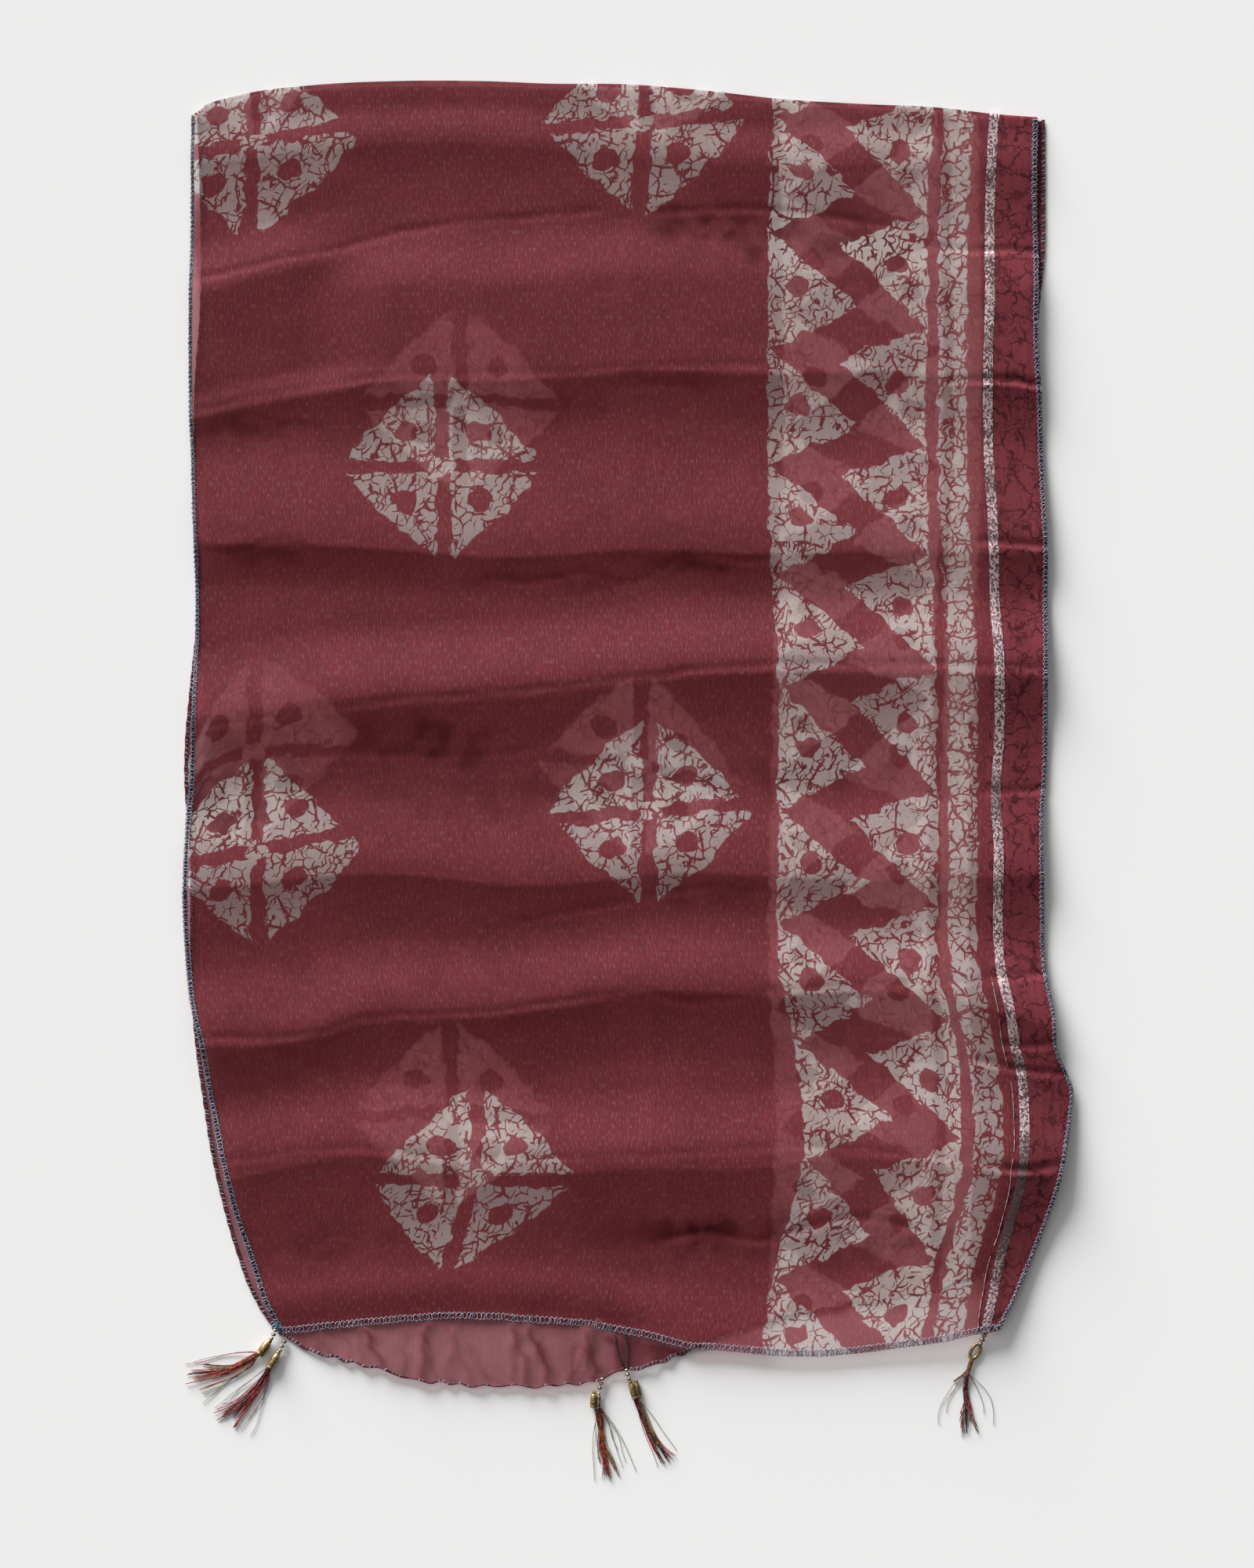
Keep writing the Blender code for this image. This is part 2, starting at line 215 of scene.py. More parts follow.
def crackle(g, p, bend, share, dense, seed):
    """Branching wax-crack veins, 1 on a vein and 0 between. Main veins that come and go, with finer spurs that thin out away from them."""
    q = g.vadd(g.vadd(p, (seed * 37.0, seed * 53.0, 0.0)), g.vmul(bend, (12.0, 12.0, 0.0)))
    parts = g.put("ShaderNodeSeparateXYZ", (bend,))
    mixed = g.put("ShaderNodeSeparateColor", (share,))
    stout = g.mul(g.cells(q, 30.0), 30.0)
    width = g.step(mixed.outputs[0], 0.37, 0.62, -0.3, 1.75)
    one = g.step(g.sub(stout, width), -0.3, 0.4, 1.0, 0.0)
    spurs = g.mul(g.cells(g.vadd(q, (55.0, 18.0, 0.0)), 12.5), 12.5)
    reach = g.step(mixed.outputs[1], 0.37, 0.58, 5.0, 20.0)
    broken = g.step(g.noise(g.vadd(p, (31.0, 90.0, 0.0)), 13.0, 0.0), 0.54, 0.68, 0.0, 1.3)
    crowd = g.step(mixed.outputs[2], 0.55, 0.66, 0.0, 0.60)
    thin = g.sub(g.sub(g.sub(g.add(1.08, crowd), g.mul(dense, 0.17)), broken), g.mul(g.m("DIVIDE", stout, reach), 0.9))
    two = g.step(g.sub(spurs, thin), -0.25, 0.35, 1.0, 0.0)
    # bundles of strokes that run side by side
    x, y = g.split(q)
    lean = g.add(g.mul(x, 0.72), g.mul(y, 0.45))
    lean = g.add(lean, g.mul(mixed.outputs[2], 24.0))
    stroke = g.m("PINGPONG", lean, 4.2)
    there = g.sub(g.step(parts.outputs[2], -0.05, 0.08, -1.0, 1.15), g.mul(broken, 0.35))
    three = g.step(g.sub(stroke, there), -0.25, 0.35, 1.0, 0.0)
    return g.high(g.high(one, two), three)


def lozenges(g, p, columns, soft):
    """Quartered lozenges in columns: (x, y of one centre, distance to the next, slant of the cross's level arm)."""
    x, y = g.split(p)
    found = None
    for cx, cy, period, slant in columns:
        dx = g.sub(x, cx)
        dy = g.m("WRAP", g.sub(y, cy), period / 2, -period / 2)
        level = g.sub(dy, g.mul(dx, slant)) if slant else dy
        ax, ay, al = (g.m("ABSOLUTE", v) for v in (dx, dy, level))
        round_ = g.add(g.m("POWER", g.mul(ax, 1 / 129.0), 1.14), g.m("POWER", g.mul(ay, 1 / 121.0), 1.14))
        body = g.step(round_, 1.0 - 0.015 * soft, 1.0 + 0.015 * soft, 1.0, 0.0)
        arms = g.step(g.low(g.sub(ax, g.mul(ay, 0.022)), al), 8.2 - 0.8 * soft, 8.2 + 0.8 * soft)
        ex, ey = g.mul(g.sub(ax, 47.0), 1 / 16.0), g.mul(g.sub(al, 44.0), 1 / 13.5)
        disc = g.step(g.add(g.mul(ex, ex), g.mul(ey, ey)), 1.0 - 0.08 * soft, 1.0 + 0.08 * soft)
        ex, ey = g.mul(dx, 1 / 15.5), g.mul(level, 1 / 11.5)
        dot = g.step(g.add(g.mul(ex, ex), g.mul(ey, ey)), 1.0 - 0.08 * soft, 1.0 + 0.08 * soft, 1.0, 0.0)
        one = g.high(g.mul(g.mul(body, arms), disc), dot)
        found = one if found is None else g.high(found, one)
    return found


def teeth(g, x, level, soft):
    """The border's two facing rows of triangles and its stripe. level is the place along the rows, 147 units a triangle."""
    # left row: upright side at 988, point to the right
    a = g.sub(x, 988.0)
    b = g.m("WRAP", g.sub(level, 80.0), 51.0, -96.0)
    left = g.low(g.add(b, g.sub(96.0, g.mul(a, 0.86))), g.sub(g.sub(52.0, g.mul(a, 0.46)), b))
    left = g.step(g.low(left, g.add(a, 1.5)), -soft, soft)
    ex, ey = g.mul(g.sub(a, 38.0), 1 / 15.0), g.mul(g.add(b, 25.0), 1 / 13.0)
    left = g.mul(left, g.step(g.add(g.mul(ex, ex), g.mul(ey, ey)), 1.0 - 0.08 * soft, 1.0 + 0.08 * soft))
    # right row: the same turned half round
    a = g.sub(1188.0, x)
    b = g.m("WRAP", level, 106.0, -41.0)
    right = g.low(g.add(b, g.sub(40.0, g.mul(a, 0.36))), g.sub(g.sub(107.0, g.mul(a, 0.98)), b))
    right = g.step(g.low(right, g.add(a, 1.0)), -soft, soft)
    ex, ey = g.mul(g.sub(a, 37.0), 1 / 14.0), g.mul(g.sub(b, 29.0), 1 / 13.5)
    right = g.mul(right, g.step(g.add(g.mul(ex, ex), g.mul(ey, ey)), 1.0 - 0.08 * soft, 1.0 + 0.08 * soft))
    stripe = g.step(g.m("ABSOLUTE", g.sub(x, 1222.0)), 18.2 - soft, 18.2 + soft, 1.0, 0.0)
    return g.high(g.high(left, right), stripe)


GROUND_TINT, BACK_TINT, PRINT_TINT = (0.98, 0.51, 0.56), (0.99, 0.615, 0.665), (0.98, 0.955, 0.94)


def see_through(g, cover, tint):
    """Joins the cloth's own shade with what shows through it. Lamp rays meet a plain version of both."""
    clear = g.put("ShaderNodeBsdfTransparent")
    g.feed(clear.inputs[0], tint)
    both = g.put("ShaderNodeMixShader")
    g.feed(both.inputs[0], cover)
    g.feed(both.inputs[1], clear.outputs[0])
    g.feed(both.inputs[2], g.shader.outputs[0])
    share = g.attribute("undyed")
    path = g.put("ShaderNodeLightPath")
    shade = g.put("ShaderNodeBsdfTransparent")
    g.feed(shade.inputs[0], g.mix(share, (0.35, 0.255, 0.265), (0.62, 0.61, 0.60)))
    first = g.put("ShaderNodeMixShader")
    g.feed(first.inputs[0], path.outputs["Is Shadow Ray"])
    g.feed(first.inputs[1], both.outputs[0])
    g.feed(first.inputs[2], shade.outputs[0])
    g.feed(g.out.inputs[0], first.outputs[0])


def sheer(name, columns, seed, reverse=False):
    """The sheer cloth: dyed ground and undyed print, each letting through its own share and colour of what lies behind."""
    g = Nodes(name)
    p = g.place("print")
    level = g.split(g.place("border"))[1]
    bend = unrest(g, p, 31.0, seed)
    soft = 3.0 if reverse else 0.8
    share = g.noise(g.vadd(p, (seed * 13.0 + 400.0, 70.0, 0.0)), 20.0, 1.0, 0.5, colour=True)
    bites = g.vadd(g.vmul(bend, (13.0, 13.0, 0.0)), g.vmul(g.vadd(share, (-0.5, -0.5, 0.0)), (11.0, 11.0, 0.0)))
    rough = g.vadd(p, bites)
    near = g.vadd(p, g.vmul(bites, (0.8, 0.8, 0.0)))
    lift = g.put("ShaderNodeSeparateXYZ", (bend,)).outputs[1]
    rows = teeth(g, g.split(near)[0], g.add(level, g.mul(lift, 24.0)), soft)
    shape = g.high(lozenges(g, rough, columns, soft), rows)
    if reverse:
        q = g.vadd(p, g.vmul(bend, (34.0, 34.0, 0.0)))
        net = g.mul(g.step(g.cells(q, 17.0), 0.02, 0.12, 0.85, 0.0), g.step(g.split(bend)[0], -0.10, 0.14, 0.25, 0.85))
        cloudy = g.step(g.split(share)[0], 0.36, 0.60, 0.74, 1.0)
        mark = g.mul(g.mul(g.mul(shape, g.sub(1.0, net)), cloudy), 0.95)
    else:
        dense = g.sub(g.step(g.split(p)[0], 966.0, 984.0), g.step(g.split(p)[0], 1198.0, 1204.0, 0.0, 2.4))
        veins = crackle(g, p, bend, share, dense, seed)
        mark = g.mul(shape, g.sub(1.0, veins))
    # uneven threads, mostly along the cloth, and pale fibres
    warp = g.noise(g.vmul(p, (1.0, 0.09, 0.0)), 2.5, 1.0, 0.8)
    weft = g.noise(g.vmul(p, (0.15, 1.0, 0.0)), 2.3, 1.0, 0.8)
    cloud = g.noise(p, 75.0, 2.0)
    thread = g.add(g.mul(g.sub(warp, 0.5), 0.66), g.mul(g.sub(weft, 0.5), 0.34))
    tone = g.add(g.add(1.0, thread), g.mul(g.sub(cloud, 0.5), 0.34))
    blot = g.step(g.noise(g.shifted(p, 9.0, 3.0, 1.0), 30.0, 1.0, 0.5), 0.36, 0.60)
    if reverse:
        dyed, undyed = (0.187, 0.067, 0.077), (0.90, 0.89, 0.87)
        # on the back: painted shade on the hem's pleats and along its strip
        painted_shade = g.attribute("painted_shade")
    else:
        dyed, undyed = (0.155, 0.0225, 0.0300), (0.522, 0.472, 0.461)
        # on the front: painted shade in the hollows and along the fold, made blotchy, darkening the ground
        painted_shade = g.mul(g.attribute("painted_shade"), g.add(0.50, g.mul(blot, 0.50)))
        tone = g.mul(tone, g.sub(1.0, g.mul(painted_shade, 0.78)))
        tone = g.mul(tone, g.sub(1.0, g.mul(g.mul(veins, shape), 0.12)))
    ground = g.mix(1.0, dyed, g.vec(tone, tone, tone), "MULTIPLY")
    if reverse:
        # painted shade on the back's pleats: the ground turns dark red there
        ground = g.mix(g.mul(painted_shade, 0.92), ground, (0.080, 0.011, 0.017))
    pale_tone = g.add(1.0, g.mul(thread, 0.28))
    if not reverse:
        # the painted shade darkens the print as well
        pale_tone = g.mul(g.mul(pale_tone, g.add(0.90, g.mul(dense, 0.05))), g.sub(1.0, g.mul(painted_shade, 0.42)))
    pale = g.mix(1.0, undyed, g.vec(pale_tone, pale_tone, g.mul(pale_tone, g.add(0.92, g.mul(cloud, 0.14)))), "MULTIPLY")
    colour = g.mix(mark, ground, pale)
    if not reverse:
        dust = g.cells(g.shifted(p, 6.0, 3.0, 1.0), 9.0, "F1")
        speck = g.mul(g.step(dust, 0.04, 0.11, 0.12, 0.0), g.step(cloud, 0.40, 0.60))
        fleck = g.noise(g.vmul(p, (1.0, 0.26, 0.0)), 1.9, 0.0)
        speck = g.high(speck, g.step(fleck, 0.56, 0.84, 0.0, 0.15))
        # no pale specks where shade is painted
        speck = g.mul(speck, g.sub(1.0, g.m("MINIMUM", g.mul(painted_shade, 1.6), 1.0)))
        colour = g.mix(speck, colour, (0.46, 0.33, 0.34))
    g.feed(g.shader.inputs["Base Color"], colour)
    g.shader.inputs["Roughness"].default_value = 0.74
    # less sheen where shade is painted
    g.feed(g.shader.inputs["Specular IOR Level"], g.mul(g.sub(1.0, g.mul(painted_shade, 0.85)), 0.14 if reverse else 0.24))
    g.shader.inputs["Sheen Weight"].default_value = 0.02
    g.shader.inputs["Sheen Roughness"].default_value = 0.45
    # plain weave, over and under every thread, and slubs
    x, y = g.split(p)
    weave = g.mul(g.m("SINE", g.mul(x, 2 * math.pi / 1.6)), g.m("SINE", g.mul(y, 2 * math.pi / 1.6)))
    g.bump(g.add(g.mul(weave, 0.5), g.add(g.mul(warp, 1.6), g.mul(weft, 1.1))), 0.30, 0.00012)
    cover = g.add(g.step(mark, 0.0, 1.0, 0.60, 0.41), g.mul(thread, 0.07))
    # the cloth is drawn thicker where shade is painted
    cover = g.add(cover, g.mul(painted_shade, 0.26))
    see_through(g, cover, g.mix(mark, BACK_TINT if reverse else GROUND_TINT, PRINT_TINT))
    return g.mat


def border_cloth():
    """The closer woven plain border, with fine dark crackle."""
    g = Nodes("border_weave")
    p = g.place("print")
    bend = unrest(g, p, 22.0, 9.0)
    q = g.vadd(p, g.vmul(bend, (24.0, 24.0, 0.0)))
    share = g.put("ShaderNodeSeparateColor", (g.noise(g.vadd(p, (40.0, 70.0, 0.0)), 20.0, 1.0, 0.5, colour=True),))
    stout = g.mul(g.cells(q, 27.0), 27.0)
    one = g.step(g.sub(stout, g.step(share.outputs[0], 0.36, 0.62, -0.7, 1.6)), -0.4, 0.6, 1.0, 0.0)
    spurs = g.mul(g.cells(g.vadd(q, (55.0, 18.0, 0.0)), 8.5), 8.5)
    reach = g.step(share.outputs[1], 0.40, 0.62, 3.0, 14.0)
    two = g.step(g.sub(spurs, g.sub(1.05, g.mul(g.m("DIVIDE", stout, reach), 1.2))), -0.35, 0.45, 1.0, 0.0)
    veins = g.high(one, g.mul(two, 0.85))
    smudge = g.mul(g.step(share.outputs[2], 0.56, 0.72), g.step(g.put("ShaderNodeSeparateXYZ", (bend,)).outputs[2], -0.05, 0.15, 0.0, 0.7))
    warp = g.noise(g.vmul(p, (1.0, 0.035, 0.0)), 2.2, 1.0, 0.7)
    weft = g.noise(g.vmul(p, (0.09, 1.0, 0.0)), 1.9, 1.0, 0.7)
    bands = g.noise(g.vmul(p, (1.0, 0.02, 0.0)), 11.0, 1.0)
    tone = g.add(1.0, g.add(g.mul(g.sub(warp, 0.5), 0.34), g.mul(g.sub(weft, 0.5), 0.24)))
    tone = g.add(tone, g.mul(g.sub(bands, 0.5), 0.50))
    tone = g.mul(tone, g.step(g.split(p)[1], 1320.0, 1410.0, 1.0, 0.84))
    colour = g.mix(1.0, (0.158, 0.0275, 0.0380), g.vec(tone, tone, tone), "MULTIPLY")
    colour = g.mix(g.mul(g.high(veins, smudge), 0.80), colour, (0.036, 0.005, 0.008))
    g.feed(g.shader.inputs["Base Color"], colour)
    g.shader.inputs["Roughness"].default_value = 0.72
    g.shader.inputs["Specular IOR Level"].default_value = 0.10
    g.shader.inputs["Sheen Weight"].default_value = 0.02
    x, y = g.split(p)
    weave = g.mul(g.m("SINE", g.mul(x, 2 * math.pi / 1.3)), g.m("SINE", g.mul(y, 2 * math.pi / 1.3)))
    g.bump(g.add(g.mul(weave, 0.5), g.add(warp, weft)), 0.35, 0.00012)
    return g.mat


def metal_cloth():
    """Silver ribbon: flat metal yarn knitted in tiny stitches that catch the light one by one, as painted glints: each
    stitch's colour is set bright or dark.
    """
    g = Nodes("metal_ribbon")
    p = g.place("print")
    stitch = g.cells(g.vmul(p, (1.0, 0.8, 0.0)), 1.75, "F1", "Color", 0.6)
    parts = g.put("ShaderNodeSeparateColor", (stitch,))
    spark, spark2 = parts.outputs[0], parts.outputs[1]
    zone = g.noise(g.vmul(p, (0.0, 1.0, 0.0)), 26.0, 2.0)
    # painted shade along the ribbon darkens it and leaves fewer stitches bright
    ribbon_shade = g.attribute("ribbon_shade")
    level = g.sub(g.add(spark, g.mul(g.sub(zone, 0.5), 0.8)), g.mul(ribbon_shade, 0.30))
    bright = g.step(level, 0.24, 0.60)
    keep = g.sub(1.0, g.mul(ribbon_shade, 0.66))
    tinted = g.mix(1.0, g.mix(spark2, (0.31, 0.178, 0.202), (0.68, 0.560, 0.558)), g.vec(keep, keep, keep), "MULTIPLY")
    # painted glints: bright stitches against dark ones
    colour = g.mix(bright, (0.080, 0.034, 0.040), tinted)
    g.feed(g.shader.inputs["Base Color"], colour)
    g.feed(g.shader.inputs["Metallic"], g.step(spark2, 0.5, 0.9, 0.05, 0.30))
    g.feed(g.shader.inputs["Roughness"], g.step(spark, 0.0, 1.0, 0.60, 0.42))
    g.bump(g.add(spark, g.mul(spark2, 0.5)), 0.5, 0.0003)
    return g.mat


def yarn(name, light, dark, rough=0.6, size=2.0, shine=0.3):
    """Twisted thread: two tones that wander along it."""
    g = Nodes(name)
    where = g.put("ShaderNodeTexCoord").outputs["Object"]
    n = g.put("ShaderNodeTexNoise")
    g.feed(n.inputs["Vector"], where)
    n.inputs["Scale"].default_value = 1.0 / (size * MM)
    n.inputs["Detail"].default_value = 2.0
    f = g.step(n.outputs["Fac"], 0.36, 0.64)
    g.feed(g.shader.inputs["Base Color"], g.mix(f, dark, light))
    g.shader.inputs["Roughness"].default_value = rough
    g.shader.inputs["Specular IOR Level"].default_value = shine
    g.bump(n.outputs["Fac"], 0.4, 0.0002)
    return g.mat


def metal(name, light, dark, rough):
    """Thin pressed metal with darker tarnish in fine patches."""
    g = Nodes(name)
    where = g.put("ShaderNodeTexCoord").outputs["Object"]
    n = g.put("ShaderNodeTexNoise")
    g.feed(n.inputs["Vector"], where)
    n.inputs["Scale"].default_value = 900.0
    n.inputs["Detail"].default_value = 3.0
    f = g.step(n.outputs["Fac"], 0.38, 0.62)
    g.feed(g.shader.inputs["Base Color"], g.mix(f, dark, light))
    g.shader.inputs["Metallic"].default_value = 0.92
    g.feed(g.shader.inputs["Roughness"], g.step(n.outputs["Fac"], 0.3, 0.7, rough + 0.15, rough))
    g.bump(n.outputs["Fac"], 0.35, 0.0002)
    return g.mat


# ---- outlines ------------------------------------------------------------------------------------------------------------
def curve(*points):
    """A smooth line through (place, value) points."""
    k, v = np.array(points, float).T
    m = np.gradient(v, k)

    def at(q):
        q = np.clip(np.asarray(q, float), k[0], k[-1])
        i = np.clip(np.searchsorted(k, q, side="right") - 1, 0, len(k) - 2)
        h = k[i + 1] - k[i]
        t = (q - k[i]) / h
        return (
            v[i] * (1 + 2 * t) * (1 - t) ** 2 + v[i + 1] * t * t * (3 - 2 * t)
            + m[i] * h * t * (1 - t) ** 2 - m[i + 1] * h * t * t * (1 - t)
        )

    return at


FOLD = curve((240, 150), (262, 134), (300, 122), (400, 108), (500, 103), (620, 103), (700, 106), (800, 107), (900, 115),
             (1000, 126), (1100, 132), (1200, 137), (1270, 145), (1335, 150))
FRONT_LEFT = curve((140, 244), (300, 243), (420, 241), (500, 241), (600, 244), (700, 248), (800, 249), (900, 246), (1000, 241),
                   (1050, 237), (1100, 235), (1200, 235), (1280, 243), (1321, 253), (1406, 267), (1491, 285), (1545, 298),
                   (1607, 318), (1661, 336), (1700, 356))
BACK_LEFT = curve((140, 252), (300, 256), (400, 255), (480, 249), (600, 247), (800, 250), (880, 242), (950, 236), (1010, 236),
                  (1060, 241), (1200, 243), (1280, 245), (1339, 250), (1402, 259), (1473, 270), (1527, 282), (1598, 302),
                  (1647, 320), (1685, 342), (1712, 366))
RIBBON = curve((140, 1269), (202, 1265), (263, 1263), (386, 1262), (467, 1260), (569, 1261), (671, 1266), (767, 1269),
               (847, 1274), (950, 1274), (1012, 1270), (1073, 1273), (1182, 1273), (1236, 1276), (1286, 1287), (1335, 1295),
               (1366, 1302), (1429, 1306), (1473, 1305), (1518, 1299), (1562, 1287), (1607, 1275), (1652, 1266), (1700, 1256))
FRONT_RIGHT = curve((140, 1324), (250, 1323), (330, 1325), (420, 1324), (500, 1328), (600, 1332), (700, 1336), (860, 1336),
                    (990, 1335), (1040, 1331), (1150, 1332), (1240, 1335), (1295, 1345), (1339, 1349), (1366, 1360),
                    (1386, 1368), (1420, 1367), (1464, 1360), (1495, 1355), (1545, 1340), (1598, 1320), (1652, 1297), (1700, 1273))
BACK_RIGHT = curve((140, 1333), (250, 1333), (330, 1332), (390, 1326), (500, 1322), (700, 1328), (1000, 1328), (1250, 1330),
                   (1366, 1350), (1420, 1352), (1500, 1344), (1600, 1308), (1660, 1280))
FRONT_HEM = curve((350, 1701), (365, 1701), (434, 1694), (499, 1688), (568, 1683), (629, 1684), (683, 1688), (740, 1692),
                  (794, 1701), (836, 1709), (874, 1719), (920, 1722), (1000, 1729), (1050, 1729), (1100, 1725), (1150, 1718),
                  (1200, 1711), (1250, 1700), (1278, 1696))
BACK_HEM = curve((340, 1692), (364, 1706), (377, 1713), (396, 1724), (430, 1734), (468, 1742), (500, 1752), (537, 1761),
                 (568, 1765), (625, 1768), (683, 1768), (732, 1766), (771, 1757), (798, 1749), (836, 1740), (874, 1727),
                 (905, 1711), (960, 1692), (1067, 1669), (1157, 1655), (1255, 1628), (1320, 1600))
BACK_HEM_PLAIN = BACK_HEM


def BACK_HEM(x):
    x = np.asarray(x, float)
    return BACK_HEM_PLAIN(x) + (1.7 * np.sin(x / 5.3 + 1.6 * np.sin(x / 23.0)) + 1.1 * np.sin(x / 11.7)) * smooth((x - 372.0) / 20.0)


# how far left of the ribbon the border cloth reaches, lying on the sheer cloth
ALLOWANCE = curve((140, 7), (500, 8), (820, 9), (900, 12), (1100, 13), (1250, 14), (1330, 16), (1432, 13), (1500, 14),
                  (1560, 11), (1620, 14), (1660, 13), (1700, 10))
# how the print of each layer lies sideways
FRONT_SHIFT = curve((140, 1), (263, -5), (467, -8), (569, -7), (709, -3), (847, 5), (950, 6), (1100, 6), (1182, 5), (1236, 8),
                    (1286, 18), (1366, 33), (1429, 38), (1495, 35), (1545, 22), (1607, 4), (1652, -4), (1700, -12))
BACK_SHIFT = curve((140, 8), (350, 12), (500, 14), (700, 8), (900, 0), (1100, -4), (1250, -4), (1430, 4), (1560, -2), (1780, -6))
# the rows of triangles: where the points of the right row lie, one each 147 units of cloth
POINTS = (18, 165, 310, 461, 608, 747, 894, 1048, 1193, 1346, 1495, 1647, 1794)


def corner(side, end, y):
    for _ in range(12):
        y = float(end(side(y)))
    return float(side(y)), y


def patch(left, right, top, bottom, s, t):
    """Plan places between four outlines: s across from the left one, t along from the top one."""
    tl, tr = corner(left, top, 130.0), corner(right, top, 150.0)
    bl, br = corner(left, bottom, 1690.0), corner(right, bottom, 1690.0)
    ly, ry = tl[1] + (bl[1] - tl[1]) * t, tr[1] + (br[1] - tr[1]) * t
    lx, rx = left(ly), right(ry)
    tx, bx = tl[0] + (tr[0] - tl[0]) * s, bl[0] + (br[0] - bl[0]) * s
    ty, by = top(tx), bottom(bx)
    S, T = np.meshgrid(s, t)
    cx = (1 - S) * (1 - T) * tl[0] + S * (1 - T) * tr[0] + (1 - S) * T * bl[0] + S * T * br[0]
    cy = (1 - S) * (1 - T) * tl[1] + S * (1 - T) * tr[1] + (1 - S) * T * bl[1] + S * T * br[1]
    x = (1 - S) * lx[:, None] + S * rx[:, None] + (1 - T) * tx + T * bx - cx
    y = (1 - S) * ly[:, None] + S * ry[:, None] + (1 - T) * ty + T * by - cy
    return x, y


# ---- form ----------------------------------------------------------------------------------------------------------------
def smooth(t):
    t = np.clip(t, 0.0, 1.0)
    return t * t * (3 - 2 * t)


def wander(x, y, size_x, size_y, seed):
    """Smooth uneven height from -1 to 1 over the plan."""
    rng = np.random.default_rng(seed)
    table = rng.uniform(-1, 1, (64, 64))
    u, v = np.asarray(x) / size_x + 7.3, np.asarray(y) / size_y + 3.1
    i, j = np.floor(u).astype(int), np.floor(v).astype(int)
    fu, fv = smooth(u - i), smooth(v - j)
    i, j = i % 64, j % 64
    i2, j2 = (i + 1) % 64, (j + 1) % 64
    return (table[i, j] * (1 - fu) + table[i2, j] * fu) * (1 - fv) + (table[i, j2] * (1 - fu) + table[i2, j2] * fu) * fv


# Billows of the front layer: crest line, from x to x, height in mm, then in units where the rise above the crest starts and
# ends, and how far below the crest it has sunk again
BILLOWS = (
    (curve((240, 212), (400, 192), (600, 184), (760, 198), (980, 212), (1340, 210)), 180, 1400, 2.9, 56, 6, 76),
    (curve((240, 384), (350, 352), (450, 330), (560, 312)), 180, 430, 4.4, 74, 2, 170),
    (curve((240, 532), (405, 500), (515, 487), (620, 484), (720, 482), (835, 475), (980, 473), (1340, 494)), 440, 1400, 5.6, 200, 118, 62),
    (curve((240, 540), (405, 506), (500, 492)), 180, 470, 2.2, 40, 2, 44),
    (curve((240, 700), (400, 700), (520, 706), (680, 712), (800, 706), (1000, 704), (1340, 700)), 180, 1400, 5.2, 150, 8, 50),
    (curve((240, 932), (417, 908), (598, 893), (745, 880), (896, 861), (1079, 854), (1340, 858)), 180, 1400, 6.6, 104, 10, 86),
    (curve((230, 1136), (500, 1120), (700, 1132), (900, 1114), (1100, 1120), (1340, 1112)), 180, 1400, 6.0, 122, 10, 74),
    (curve((240, 1330), (396, 1324), (454, 1307), (597, 1297), (731, 1282), (802, 1271), (1000, 1264), (1240, 1284), (1350, 1316)),
     180, 1400, 6.8, 104, 8, 84),
    (curve((270, 1500), (441, 1480), (722, 1498), (896, 1490), (1034, 1480), (1279, 1500), (1360, 1504)), 180, 1400, 6.2, 108, 12, 96),
    (curve((340, 1712), (629, 1692), (920, 1728), (1290, 1702)), 180, 1400, 3.6, 96, 6, 60),
)
